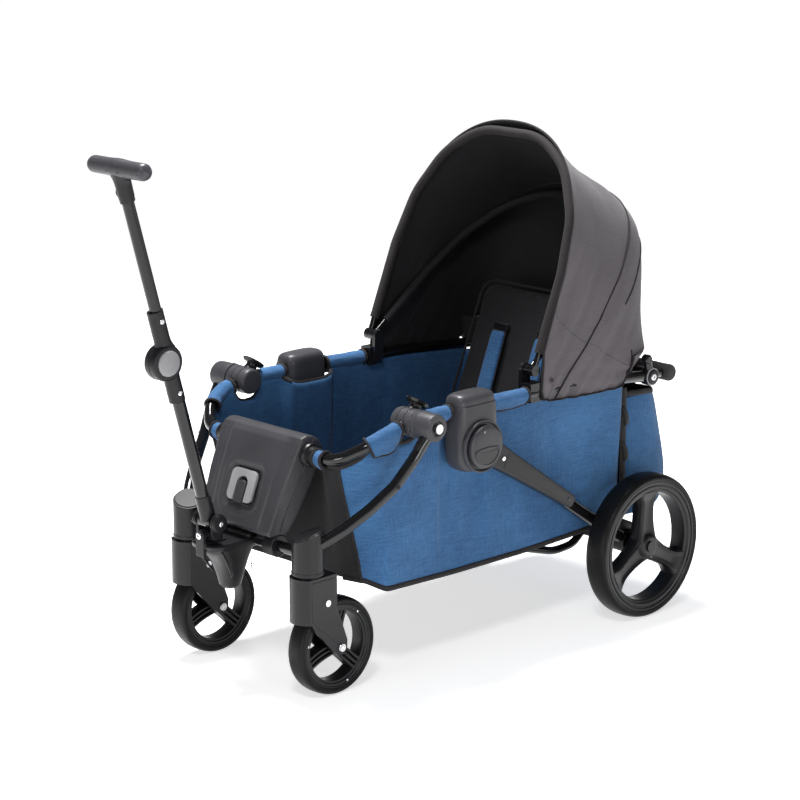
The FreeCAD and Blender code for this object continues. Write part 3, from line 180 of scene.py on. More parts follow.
def coordinates(tree, scale=(1, 1, 1)):
    """Object coordinates, scaled."""
    source = tree.nodes.new("ShaderNodeTexCoord")
    mapping = tree.nodes.new("ShaderNodeMapping")
    mapping.inputs["Scale"].default_value = scale
    tree.links.new(source.outputs["Object"], mapping.inputs["Vector"])
    return mapping.outputs["Vector"]


def noise_value(tree, scale, detail=2.0, stretch=(1, 1, 1), rough=0.5):
    node = tree.nodes.new("ShaderNodeTexNoise")
    node.inputs["Scale"].default_value = scale
    node.inputs["Detail"].default_value = detail
    node.inputs["Roughness"].default_value = rough
    tree.links.new(coordinates(tree, stretch), node.inputs["Vector"])
    return node.outputs["Fac"]


def threads(tree, direction, count, distortion=0.0):
    """Parallel threads: a wave along a direction, count per metre."""
    node = tree.nodes.new("ShaderNodeTexWave")
    node.wave_type = "BANDS"
    node.bands_direction = direction
    node.wave_profile = "SIN"
    node.inputs["Scale"].default_value = count / 6.2832 * 2
    node.inputs["Distortion"].default_value = distortion
    node.inputs["Detail"].default_value = 1.0
    tree.links.new(coordinates(tree), node.inputs["Vector"])
    return node.outputs["Fac"]


def math_node(tree, operation, first, second):
    node = tree.nodes.new("ShaderNodeMath")
    node.operation = operation
    for socket, value in zip(node.inputs, (first, second)):
        if isinstance(value, (int, float)):
            socket.default_value = value
        else:
            tree.links.new(value, socket)
    return node.outputs[0]


def ramp(tree, value, stops):
    """A colour ramp from (position, colour) stops."""
    node = tree.nodes.new("ShaderNodeValToRGB")
    elements = node.color_ramp.elements
    while len(elements) < len(stops):
        elements.new(0.5)
    for element, (position, color) in zip(elements, stops):
        element.position = position
        element.color = (*color, 1.0)
    tree.links.new(value, node.inputs["Fac"])
    return node.outputs["Color"]


def range_to(tree, value, low, high):
    node = tree.nodes.new("ShaderNodeMapRange")
    node.inputs["To Min"].default_value = low
    node.inputs["To Max"].default_value = high
    tree.links.new(value, node.inputs["Value"])
    return node.outputs["Result"]


def bump(tree, shader, heights):
    """Bumps in a row: (height socket, strength, distance in mm)."""
    last = None
    for height, strength, distance in heights:
        node = tree.nodes.new("ShaderNodeBump")
        node.inputs["Strength"].default_value = strength
        node.inputs["Distance"].default_value = distance * MM
        tree.links.new(height, node.inputs["Height"])
        if last is not None:
            tree.links.new(last, node.inputs["Normal"])
        last = node.outputs["Normal"]
    tree.links.new(last, shader.inputs["Normal"])


def tint(color, factor):
    return tuple(min(1.0, c * factor) for c in color)


def plastic(name, color, rough, grain=0.35, coat=0.0, wear=1.9):
    """Moulded plastic: fine grain, uneven gloss, edges rubbed lighter."""
    material, tree, shader = new_material(name, color, rough, coat=coat, specular=0.28)
    cloud = noise_value(tree, 14, 3)
    base = ramp(tree, cloud, [(0.3, tint(color, 0.86)), (0.7, tint(color, 1.14))])
    geometry = tree.nodes.new("ShaderNodeNewGeometry")
    edge = ramp(tree, geometry.outputs["Pointiness"], [(0.53, (0, 0, 0)), (0.64, (1, 1, 1))])
    mix = tree.nodes.new("ShaderNodeMix")
    mix.data_type = "RGBA"
    tree.links.new(math_node(tree, "MULTIPLY", edge, 0.6), mix.inputs["Factor"])
    tree.links.new(base, mix.inputs[6])
    mix.inputs[7].default_value = (*tint(color, wear), 1.0)
    tree.links.new(mix.outputs[2], shader.inputs["Base Color"])
    tree.links.new(range_to(tree, noise_value(tree, 45, 2), rough - 0.06, rough + 0.07), shader.inputs["Roughness"])
    bump(tree, shader, [(noise_value(tree, 1500, 1), grain, 0.06), (noise_value(tree, 30, 2), 0.15, 0.3)])
    return material


def lacquer(name, color, rough, coat):
    """Glossy powder coat on tube."""
    material, tree, shader = new_material(name, color, rough, coat=coat, specular=0.15)
    cloud = noise_value(tree, 9, 3)
    tree.links.new(ramp(tree, cloud, [(0.3, tint(color, 0.8)), (0.7, tint(color, 1.25))]),
                   shader.inputs["Base Color"])
    tree.links.new(range_to(tree, noise_value(tree, 60, 3), rough - 0.04, rough + 0.06), shader.inputs["Roughness"])
    bump(tree, shader, [(noise_value(tree, 420, 1), 0.10, 0.08)])
    return material


def metal(name, color, rough):
    """Brushed metal."""
    material, tree, shader = new_material(name, color, rough, metallic=1.0)
    brushed = noise_value(tree, 900, 2, (1, 1, 0.08))
    tree.links.new(ramp(tree, brushed, [(0.3, tint(color, 0.85)), (0.7, tint(color, 1.1))]),
                   shader.inputs["Base Color"])
    tree.links.new(range_to(tree, brushed, rough - 0.08, rough + 0.1), shader.inputs["Roughness"])
    bump(tree, shader, [(brushed, 0.15, 0.05)])
    return material


def rubber(name, color, rough, grain=0.3):
    """Matt tyre rubber."""
    material, tree, shader = new_material(name, color, rough, specular=0.12)
    cloud = noise_value(tree, 22, 4)
    tree.links.new(ramp(tree, cloud, [(0.3, tint(color, 0.8)), (0.72, tint(color, 1.35))]),
                   shader.inputs["Base Color"])
    tree.links.new(range_to(tree, noise_value(tree, 70, 3), rough - 0.07, rough + 0.09), shader.inputs["Roughness"])
    bump(tree, shader, [(noise_value(tree, 900, 2), grain, 0.1)])
    return material


def foam(name, color):
    """Open-celled foam."""
    material, tree, shader = new_material(name, color, 0.85, sheen=0.1)
    cells = tree.nodes.new("ShaderNodeTexVoronoi")
    cells.inputs["Scale"].default_value = 700
    tree.links.new(coordinates(tree), cells.inputs["Vector"])
    tree.links.new(ramp(tree, cells.outputs["Distance"], [(0.0, tint(color, 0.7)), (0.7, tint(color, 1.3))]),
                   shader.inputs["Base Color"])
    bump(tree, shader, [(cells.outputs["Distance"], 0.5, 0.3)])
    return material


def cloth(name, dark, light, rough=0.85, sheen=0.25, count=900, melange=1.0, weave=0.35):
    """Woven cloth: crossed threads, streaks of lighter and darker yarn both ways, soft large-scale variation."""
    material, tree, shader = new_material(name, light, rough, sheen=sheen, specular=0.25)
    along = noise_value(tree, 1.0, 3, (40, 40, 1300), 0.6)
    across = noise_value(tree, 1.0, 3, (1300, 1300, 40), 0.6)
    streak = math_node(tree, "MULTIPLY", math_node(tree, "ADD", along, across), 0.5)
    patch = noise_value(tree, 7, 3)
    blend = math_node(tree, "ADD", math_node(tree, "MULTIPLY", streak, 0.75),
                      math_node(tree, "MULTIPLY", patch, 0.25))
    low, high = 0.5 - 0.10 * melange, 0.5 + 0.10 * melange
    tree.links.new(ramp(tree, blend, [(low, dark), (high, light)]), shader.inputs["Base Color"])
    tree.links.new(range_to(tree, patch, rough - 0.06, rough + 0.06), shader.inputs["Roughness"])
    warp = threads(tree, "Z", count)
    weft = math_node(tree, "MAXIMUM", threads(tree, "Y", count), threads(tree, "X", count))
    grid = math_node(tree, "MULTIPLY", warp, weft)
    bump(tree, shader,
         [(grid, weave, 0.25), (noise_value(tree, 60, 3), 0.25, 0.6), (noise_value(tree, 12, 3), 0.25, 2.5)])
    return material


MAT = {}


def make_materials():
    MAT["tube"] = lacquer("tube_black", (0.004, 0.004, 0.0045), 0.10, 0.55)
    MAT["plastic"] = plastic("plastic_black", (0.0065, 0.0065, 0.0075), 0.34, wear=2.0)
    # A lighter copy of the black plastic for the housings, knobs, hinges and grip: a painted highlight, for where these
    # upper parts catch the light.
    MAT["satin"] = plastic("plastic_satin", (0.040, 0.040, 0.045), 0.36, wear=1.5)
    MAT["gloss"] = plastic("plastic_gloss_black", (0.006, 0.006, 0.007), 0.20, 0.1, 0.3)
    MAT["grey"] = plastic("plastic_grey", (0.034, 0.034, 0.038), 0.38, wear=1.5)
    MAT["light"] = plastic("plastic_light_grey", (0.24, 0.24, 0.25), 0.40, 0.2, wear=1.1)
    MAT["steel"] = metal("steel_bright", (0.70, 0.70, 0.72), 0.24)
    MAT["tyre"] = rubber("tyre_rubber", (0.0055, 0.0055, 0.006), 0.36)
    MAT["foam"] = foam("foam_black", (0.014, 0.014, 0.015))
    MAT["blue"] = cloth("cloth_blue", (0.014, 0.056, 0.145), (0.046, 0.136, 0.285), 0.85, 0.12, 850)
    MAT["black"] = cloth("cloth_black", (0.008, 0.008, 0.009), (0.017, 0.017, 0.019), 0.88, 0.05, 1000)
    MAT["canopy"] = cloth("cloth_canopy", (0.066, 0.059, 0.066), (0.104, 0.094, 0.103), 0.85, 0.12, 1300, 1.3, 0.25)
    MAT["lining"] = cloth("cloth_lining", (0.005, 0.005, 0.006), (0.011, 0.011, 0.012), 0.85, 0.03, 1200, 1.2, 0.2)
    MAT["binding"] = cloth("cloth_binding", (0.008, 0.007, 0.0075), (0.020, 0.017, 0.018), 0.8, 0.05, 700)
    MAT["web"] = cloth("webbing_black", (0.008, 0.008, 0.009), (0.018, 0.018, 0.019), 0.65, 0.05, 500)
    MAT["stitch"] = cloth("thread_grey", (0.030, 0.030, 0.032), (0.09, 0.09, 0.092), 0.7, 0.1, 1500)


# ---------------------------------------------------------------- mesh helpers


def piece(name, verts, faces, material, body, smooth=True, sharp=None):
    mesh = bpy.data.meshes.new(name)
    mesh.from_pydata([tuple(v) for v in verts], [], faces)
    mesh.update()
    return finish_piece(name, mesh, material, body, smooth, sharp)


def finish_piece(name, mesh, material, body, smooth=True, sharp=None):
    obj = bpy.data.objects.new(name, mesh)
    bpy.context.scene.collection.objects.link(obj)
    keys = [material] if isinstance(material, str) else material
    for key in keys:
        mesh.materials.append(MAT[key])
    fix = bmesh.new()
    fix.from_mesh(mesh)
    bmesh.ops.recalc_face_normals(fix, faces=fix.faces)
    fix.to_mesh(mesh)
    fix.free()
    if smooth:
        mesh.shade_smooth()
        if sharp:
            mesh.set_sharp_from_angle(angle=math.radians(sharp))
    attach(obj, body)
    return obj


def bevel(obj, width, segments=3, angle=35):
    """Rounded edges, in mm."""
    modifier = obj.modifiers.new("bevel", "BEVEL")
    modifier.width = width * MM
    modifier.segments = segments
    modifier.limit_method = "ANGLE"
    modifier.angle_limit = math.radians(angle)
    modifier.harden_normals = False
    for polygon in obj.data.polygons:
        polygon.use_smooth = True
    normals = obj.modifiers.new("normals", "WEIGHTED_NORMAL")
    normals.keep_sharp = True
    return obj


def subdivide(obj, levels=1):
    modifier = obj.modifiers.new("subdivision", "SUBSURF")
    modifier.levels = levels
    modifier.render_levels = levels
    return obj


def frames_along(points):
    """A tangent and two steady side directions at each point."""
    result = []
    side = None
    count = len(points)
    for i in range(count):
        tangent = (points[min(i + 1, count - 1)] - points[max(i - 1, 0)]).normalized()
        if side is None:
            helper = Vector((1, 0, 0)) if abs(tangent.x) < 0.9 else Vector((0, 0, 1))
            side = (helper - tangent * helper.dot(tangent)).normalized()
        else:
            side = (side - tangent * side.dot(tangent)).normalized()
        result.append((tangent, side, tangent.cross(side)))
    return result


def tube_faces(rings, steps, caps=True):
    """The faces of a tube of rings with steps points each, and of its two ends."""
    faces = []
    for i in range(rings - 1):
        for k in range(steps):
            n = (k + 1) % steps
            faces.append((i * steps + k, i * steps + n, (i + 1) * steps + n, (i + 1) * steps + k))
    if caps:
        faces.append(tuple(range(steps))[::-1])
        faces.append(tuple((rings - 1) * steps + k for k in range(steps)))
    return faces


def grid_faces(rows, columns):
    """The faces of an open sheet of rows by columns cells."""
    width = columns + 1
    return [(r * width + k, r * width + k + 1, (r + 1) * width + k + 1, (r + 1) * width + k)
            for r in range(rows) for k in range(columns)]


def thicken(obj, thickness, offset=-1):
    """Give a cloth its thickness, in mm."""
    modifier = obj.modifiers.new("cloth", "SOLIDIFY")
    modifier.thickness = thickness * MM
    modifier.offset = offset


def squared(value, power):
    """A sine or cosine of a rounded square; power 2 is a circle."""
    return math.copysign(abs(value) ** (2 / power), value)


def sweep(name, points, section, material, body, steps=20, caps=True, sharp=None):
    """A tube whose section(i, share) gives its (a, b) half sizes in mm, swept along points in metres."""
    verts = []
    count = len(points)
    for i, (point, (_, side, other)) in enumerate(zip(points, frames_along(points))):
        a, b = section(i / (count - 1)) if callable(section) else section
        for k in range(steps):
            turn = 2 * math.pi * k / steps
            verts.append(point + side * (a * MM * math.cos(turn)) + other * (b * MM * math.sin(turn)))
    return piece(name, verts, tube_faces(count, steps, caps), material, body, True, sharp or 50)


def rounded(points, bend, steps=8):
    """Points along straight runs joined by arcs; bend in metres."""
    path = [points[0]]
    for before, corner, after in zip(points, points[1:], points[2:]):
        into, out = (corner - before), (after - corner)
        turn = into.angle(out)
        if turn < 0.01:
            path.append(corner)
            continue
        reach = min(0.49 * min(into.length, out.length), bend * math.tan(turn / 2))
        start, end = corner - into.normalized() * reach, corner + out.normalized() * reach
        for k in range(steps + 1):
            t = k / steps
            path.append(start * (1 - t) ** 2 + corner * (2 * t * (1 - t)) + end * t ** 2)
    path.append(points[-1])
    return path


def smooth_path(points, steps=8):
    """A Catmull-Rom curve through the points."""
    path = []
    count = len(points)
    for i in range(count - 1):
        a, b, c, d = points[max(i - 1, 0)], points[i], points[i + 1], points[min(i + 2, count - 1)]
        for k in range(steps):
            t = k / steps
            path.append(0.5 * ((2 * b) + (c - a) * t + (2 * a - 5 * b + 4 * c - d) * t ** 2
                               + (3 * b - a - 3 * c + d) * t ** 3))
    path.append(points[-1])
    return path


def lathe(name, profile, origin, axis, material, body, steps=64, sharp=35, start=0.0, span=2 * math.pi):
    """A closed profile of (along, radius) in mm, turned about an axis through origin."""
    axis = Vector(axis).normalized()
    helper = Vector((0, 0, 1)) if abs(axis.z) < 0.9 else Vector((0, 1, 0))
    side = (helper - axis * helper.dot(axis)).normalized()
    other = axis.cross(side)
    verts, faces = [], []
    count = len(profile)
    for k in range(steps):
        turn = start + span * k / steps
        radial = side * math.cos(turn) + other * math.sin(turn)
        for along, radius in profile:
            verts.append(origin + axis * (along * MM) + radial * (radius * MM))
    for k in range(steps):
        n = (k + 1) % steps
        for i in range(count):
            j = (i + 1) % count
            if profile[i][1] < 1e-6 and profile[j][1] < 1e-6:
                continue
            faces.append((k * count + i, k * count + j, n * count + j, n * count + i))
    mesh = bpy.data.meshes.new(name)
    mesh.from_pydata([tuple(v) for v in verts], [], faces)
    fix = bmesh.new()
    fix.from_mesh(mesh)
    bmesh.ops.remove_doubles(fix, verts=fix.verts, dist=1e-6)
    bmesh.ops.dissolve_degenerate(fix, edges=fix.edges, dist=1e-7)
    fix.to_mesh(mesh)
    fix.free()
    return finish_piece(name, mesh, material, body, True, sharp)


def prism(name, outline, low, high, axis, material, body, round_mm=0.0, segments=3):
    """An outline of 3-D points pushed along an axis from low to high mm, with rounded edges."""
    axis = Vector(axis).normalized()
    count = len(outline)
    verts = [Vector(p) + axis * (low * MM) for p in outline] + [Vector(p) + axis * (high * MM) for p in outline]
    faces = [tuple(range(count))[::-1], tuple(range(count, 2 * count))]
    for i in range(count):
        j = (i + 1) % count
        faces.append((i, j, count + j, count + i))
    obj = piece(name, verts, faces, material, body)
    if round_mm:
        bevel(obj, round_mm, segments)
    return obj


def rounded_block(name, centre, spans, material, body, round_mm, turn=None, segments=4, taper=None):
    """A block with rounded edges; taper scales its low end in x and y."""
    half = [value * MM / 2 for value in spans]
    turn = turn or Matrix.Identity(3)
    verts = []
    for z in (-1, 1):
        scale = taper if (taper and z < 0) else (1, 1)
        for x, y in ((-1, -1), (1, -1), (1, 1), (-1, 1)):
            verts.append(centre + turn @ Vector((x * half[0] * scale[0], y * half[1] * scale[1], z * half[2])))
    faces = [(0, 3, 2, 1), (4, 5, 6, 7), (0, 1, 5, 4), (1, 2, 6, 5), (2, 3, 7, 6), (3, 0, 4, 7)]
    obj = piece(name, verts, faces, material, body)
    return bevel(obj, round_mm, segments) if round_mm else obj


def bolt_head(name, centre, axis, radius, height, body, material="steel", recess=0.45):
    """A pan head with a socket."""
    inner = radius * recess
    profile = [(0, radius), (height * 0.55, radius), (height * 0.9, radius * 0.86), (height, radius * 0.7),
               (height, inner), (height * 0.35, inner * 0.9), (height * 0.35, 0), (0, 0)]
    return lathe(name, profile, centre, axis, material, body, 28, 30)


def keep_cad():
    """CAD pieces whose shape is right: only their material changes."""
    finishes = {"top_rail": "tube", "front_leg_left": "tube", "front_leg_right": "tube", "cross_tube": "tube",
                "rear_leg_left": "tube", "rear_leg_right": "tube", "rear_stay": "tube", "push_handle_bar": "tube",
                "canopy_front_bow": "tube", "canopy_mid_bow": "tube", "handle_lower_tube": "tube",
                "handle_upper_tube": "tube", "rear_axle_rod": "plastic", "pivot_bolts": "steel",
                "rear_axle_beam": "plastic", "brake_pedal": "plastic", "front_box_back": "grey",
                "caster_hardware_left": "steel", "caster_hardware_right": "steel",
                "handle_tilt_block": "plastic", "canopy_clamps": "gloss", "push_hinge_bases": "plastic"}
    for node, key in finishes.items():
        obj = NODES[node]
        obj.data.materials.clear()
        obj.data.materials.append(MAT[key])
        for polygon in obj.data.polygons:
            polygon.use_smooth = True
        obj.data.set_sharp_from_angle(angle=math.radians(32))


def from_cad(node, material, round_mm, segments=3):
    """A copy of a CAD piece with whole flat faces and rounded edges, which stands for it."""
    mesh = NODES[node].data.copy()
    mesh.materials.clear()
    fix = bmesh.new()
    fix.from_mesh(mesh)
    bmesh.ops.remove_doubles(fix, verts=fix.verts, dist=2e-5)
    bmesh.ops.dissolve_limit(fix, angle_limit=math.radians(1.0), verts=fix.verts, edges=fix.edges)
    fix.to_mesh(mesh)
    fix.free()
    obj = finish_piece(node + "_look", mesh, material, NODES[node]["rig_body"], True)
    bevel(obj, round_mm, segments, 30)
    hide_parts(node)
    return obj


# ---------------------------------------------------------------- wheels

def tyre_profile(half, inner, outer, foot, power):
    """A round tyre section from one bead to the other."""
    middle = inner + (outer - inner) * 0.42
    points = [(-foot, inner), (-half * 0.97, inner + (middle - inner) * 0.45)]
    for k in range(25):
        turn = math.pi * (1 - k / 24)
        across = math.copysign(abs(math.cos(turn)) ** (2 / power), math.cos(turn))
        points.append((half * across, middle + (outer - middle) * abs(math.sin(turn)) ** (2 / power)))
    points += [(half * 0.97, inner + (middle - inner) * 0.45), (foot, inner)]
    return points


def mirror_profile(side):
    """A ring profile that is the same on both faces, from its outer-face half."""
    return [(-a, r) for a, r in side] + [(a, r) for a, r in side[::-1]]


def spoke(name, centre, angle, radii, width, depth, flute, body, material="plastic"):
    """One spoke whose width, depth and flute follow the radius."""
    verts, faces = [], []
    rows, across = 20, 17
    out = Vector((0, math.sin(angle), math.cos(angle)))
    wide = Vector((0, math.cos(angle), -math.sin(angle)))
    for i in range(rows + 1):
        share = i / rows
        radius = radii[0] + (radii[1] - radii[0]) * share
        ring = []
        for side in (1, -1):
            order = range(across) if side > 0 else range(across - 1, -1, -1)
            for k in order:
                s = -1 + 2 * k / (across - 1)
                edge = (1 - abs(s) ** 6) ** 0.5
                hollow = flute(share) * max(0.0, 1 - (abs(s) / 0.72) ** 4)
                height = max(depth(share) - hollow, 1.0) * (0.35 + 0.65 * edge)
                place = centre + out * (radius * MM) + wide * (s * width(share) * MM)
                ring.append(place + Vector((side * height * MM, 0, 0)))
        verts += ring
    count = across * 2
    for i in range(rows):
        for k in range(count):
            n = (k + 1) % count
            faces.append((i * count + k, i * count + n, (i + 1) * count + n, (i + 1) * count + k))
    return piece(name, verts, faces, material, body, True, 40)


def front_wheel(side, word):
    """Tyre, rim, hub and three ribbed arms of a front wheel."""
    body = "front_wheel_" + word
    centre = pt(FRONT_TRACK_HALF * side, 0, FRONT_RADIUS)
    tyre = lathe("tyre_front_" + word, tyre_profile(20.5, 78.2, FRONT_RADIUS, 18.5, 2.9), centre, (1, 0, 0), "tyre",
                 body, 96)
    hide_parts("front_tyre_" + word)
    ring = mirror_profile([(12.5, 65.5), (14.5, 66.2), (15.0, 68.0), (15.0, 70.2), (17.2, 71.4), (17.6, 73.2),
                           (17.6, 75.6), (19.4, 76.6), (19.6, 78.0), (18.6, 79.0)])
    rim = lathe("rim_front_" + word, ring, centre, (1, 0, 0), "plastic", body, 96, 30)
    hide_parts("front_rim_" + word)
    hub = mirror_profile([(19.5, 5.0), (19.5, 12.0), (18.0, 14.5), (14.0, 16.5), (9.0, 18.0)])
    lathe("hub_front_" + word, hub, centre, (1, 0, 0), "plastic", body, 48, 30)
    lathe("hub_ring_front_" + word, [(-20.4, 7.0), (-20.4, 10.5), (20.4, 10.5), (20.4, 7.0)], centre, (1, 0, 0),
          "steel", body, 40)
    for k in range(3):
        angle = math.radians(12 + 120 * k)
        for j, offset in enumerate((-9.2, 0.0, 9.2)):
            shift = Vector((0, math.cos(angle), -math.sin(angle))) * (offset * MM)
            spoke("rib_front_%s_%d%d" % (word, k, j), centre + shift, angle, (13, 67.5), lambda t: 2.6 + 1.2 * t,
                  lambda t: 15.0 - 3.0 * math.sin(math.pi * t), lambda t: 0.0, body)
        spoke("web_front_%s_%d" % (word, k), centre, angle, (12, 67.5), lambda t: 12.0 + 2.5 * t,
              lambda t: 6.0, lambda t: 2.0, body)
    for k in range(6):
        angle = math.radians(42 + 60 * k)
        place = centre + Vector((17.4 * side * MM, math.sin(angle) * 74.4 * MM, math.cos(angle) * 74.4 * MM))
        if k % 2 == 0:
            bolt_head("rim_screw_%s_%d" % (word, k), place, (side, 0, 0), 2.4, 1.4, body)


def rear_wheel(side, word):
    """Tyre, rim, hub and three broad spokes of a rear wheel."""
    body = "rear_wheel_" + word
    centre = pt(REAR_TRACK_HALF * side, REAR_RUN, REAR_RADIUS)
    tyre = lathe("tyre_rear_" + word, tyre_profile(24.5, 129.5, REAR_RADIUS, 22.5, 2.5), centre, (1, 0, 0), "tyre",
                 body, 128)
    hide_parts("rear_tyre_" + word)
    ring = mirror_profile([(14.0, 108.0), (17.0, 108.8), (18.4, 111.0), (19.4, 114.5), (21.8, 116.2), (22.2, 118.0),
                           (22.2, 121.4), (20.6, 122.4), (20.6, 124.8), (22.6, 125.8), (23.2, 127.5), (23.2, 129.5),
                           (21.5, 131.0)])
    rim = lathe("rim_rear_" + word, ring, centre, (1, 0, 0), "plastic", body, 128, 30)
    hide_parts("rear_rim_" + word)
    hub = mirror_profile([(20.0, 6.3), (20.8, 8.0), (20.8, 17.0), (19.8, 19.5), (16.0, 23.0), (10.0, 25.5)])
    lathe("hub_rear_" + word, hub, centre, (1, 0, 0), "plastic", body, 56, 30)

    def width(t):
        return 18.0 + 9.0 * (1 - t) ** 3 + 17.0 * max(0.0, (t - 0.62) / 0.38) ** 2.4

    def depth(t):
        return 19.5 - 4.0 * math.sin(math.pi * min(1.0, t * 1.1))

    for k in range(3):
        spoke("spoke_rear_%s_%d" % (word, k), centre, math.radians(120 * k), (9, 110.5), width, depth,
              lambda t: 5.5 * min(1.0, t * 6) * min(1.0, (1 - t) * 5), body)
    lathe("axle_cap_" + word, [(0, 0), (0, 9.5), (2.0, 9.5), (3.4, 8.2), (4.0, 5.5), (4.0, 0)],
          centre + Vector((20.6 * side * MM, 0, 0)), (side, 0, 0), "plastic", body, 40)


# ---------------------------------------------------------------- casters

def sliced_drum(name, centre_x, radius, low, top_z, tilt, side, material, body, round_mm):
    """An upright drum whose top is a slope facing inwards and forwards."""
    mesh = bpy.data.meshes.new(name)
    shape = bmesh.new()
    base = pt(centre_x, SWIVEL_RUN, low)
    bmesh.ops.create_cone(shape, cap_ends=True, segments=72, radius1=radius * MM, radius2=radius * MM, depth=0.14,
                          matrix=Matrix.Translation(base + Vector((0, 0, 0.07))))
    tilt = math.radians(tilt)
    lean = Vector((-side, -1, 0)).normalized() * math.sin(tilt) + Vector((0, 0, math.cos(tilt)))
    cut = bmesh.ops.bisect_plane(shape, geom=shape.verts[:] + shape.edges[:] + shape.faces[:],
                                 plane_co=pt(centre_x, SWIVEL_RUN, top_z), plane_no=lean, clear_outer=True)
    edges = [item for item in cut["geom_cut"] if isinstance(item, bmesh.types.BMEdge)]
    bmesh.ops.edgeloop_fill(shape, edges=edges)
    shape.to_mesh(mesh)
    shape.free()
    obj = finish_piece(name, mesh, material, body)
    return bevel(obj, round_mm, 3, 40)


def caster(side, word):
    """The sloped drum, the fork and its cover plates and bolts."""
    x = FRONT_TRACK_HALF * side
    sleeve = sliced_drum("caster_drum_" + word, x, 29.5, 238, 311, 21, side, "plastic", "front_frame", 1.6)
    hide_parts("caster_housing_" + word)
    sliced_drum("caster_cap_" + word, x, 27.0, 262, 313.5, 21, side, "plastic", "front_frame", 1.4)
    lathe("caster_lip_" + word, [(0, 25.0), (0, 30.2), (3.5, 30.6), (5.5, 30.2), (6.0, 25.0)], pt(x, SWIVEL_RUN, 239),
          (0, 0, 1), "plastic", "front_frame", 72)
    lathe("caster_gap_" + word, [(0, 0), (0, 25.5), (4.5, 25.5), (4.5, 0)], pt(x, SWIVEL_RUN, 234.5), (0, 0, 1),
          "plastic", "caster_" + word, 48)
    from_cad("caster_fork_" + word, "plastic", 2.6, 3)
    for end, mark in ((1, "a"), (-1, "b")):
        cover = [pt(x, -72, 229), pt(x, -18, 229), pt(x, -16, 176), pt(x, 6, 118), pt(x, 10, 104), pt(x, -14, 104),
                 pt(x, -62, 146), pt(x, -72, 160)]
        prism("fork_cover_%s_%s" % (word, mark), cover, 26.4 * end, 28.3 * end, (1, 0, 0),
              "plastic", "caster_" + word, 1.3, 3)
        bolt_head("fork_bolt_%s_%s" % (word, mark), pt(x + 28.2 * end, -34, 184), (end, 0, 0),
                  5.2, 2.2, "caster_" + word)
        bolt_head("axle_nut_%s_%s" % (word, mark), pt(x + 27.4 * end, 0, FRONT_RADIUS),
                  (end, 0, 0), 7.6, 4.2, "caster_" + word, recess=0.5)


# ---------------------------------------------------------------- lofted pods

def pod(name, levels, material, body, steps=40, sharp=None):
    """A rounded body lofted through level rows: (z, x low, x high, run low, run high, power)."""
    verts = []
    for z, x0, x1, y0, y1, power in levels:
        for k in range(steps):
            turn = 2 * math.pi * k / steps
            c, s = math.cos(turn), math.sin(turn)
            x = (x0 + x1) / 2 + (x1 - x0) / 2 * squared(c, power)
            y = (y0 + y1) / 2 + (y1 - y0) / 2 * squared(s, power)
            verts.append(pt(x, y, z))
    return piece(name, verts, tube_faces(len(levels), steps), material, body, True, sharp or 45)


def housing(side, word):
    """The moulded block that carries the rear-leg disc, and the glossy cap over the rail."""
    def row(z, x0, x1, y0, y1, power):
        return (z, x0, x1, y0, y1, power) if side > 0 else (z, -x1, -x0, y0, y1, power)
    lower = [row(379, 222, 246, 276, 306, 2.6), row(382, 212, 254, 262, 320, 2.8), row(390, 207, 259, 250, 332, 3.2),
             row(402, 205.5, 261, 243, 339, 3.8), row(430, 205, 262, 241, 341, 4.2),
             row(470, 205, 262, 241, 341, 4.4), row(500, 205, 261, 242, 340, 4.4), row(508, 206, 260, 243, 339, 4.2)]
    obj = pod("housing_body_" + word, lower, "satin", "frame")
    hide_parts("hinge_housing_" + word)
    cap = [row(486, 205.2, 257, 243, 339, 4.2), row(510, 205.2, 257.5, 242.6, 339.4, 4.2),
           row(518, 206, 257, 243.4, 338.6, 4.0), row(523.5, 208, 255, 246, 336, 3.8),
           row(527, 212, 251, 250, 332, 3.5), row(528.6, 219, 244, 258, 324, 3.2)]
    pod("housing_cap_" + word, cap, "satin", "frame")
    ring = [(0.5, 30), (0.5, 50.0), (4.6, 50.0), (6.4, 49.2), (6.8, 47.8), (6.2, 46.2), (4.6, 45.6), (3.0, 45.0),
            (1.5, 44.0), (1.5, 30)]
    return lathe("disc_ring_" + word, ring, pt(262 * side, HOUSE_RUN, HOUSE_Z), (side, 0, 0), "satin", "rear_frame",
                 72, 30)


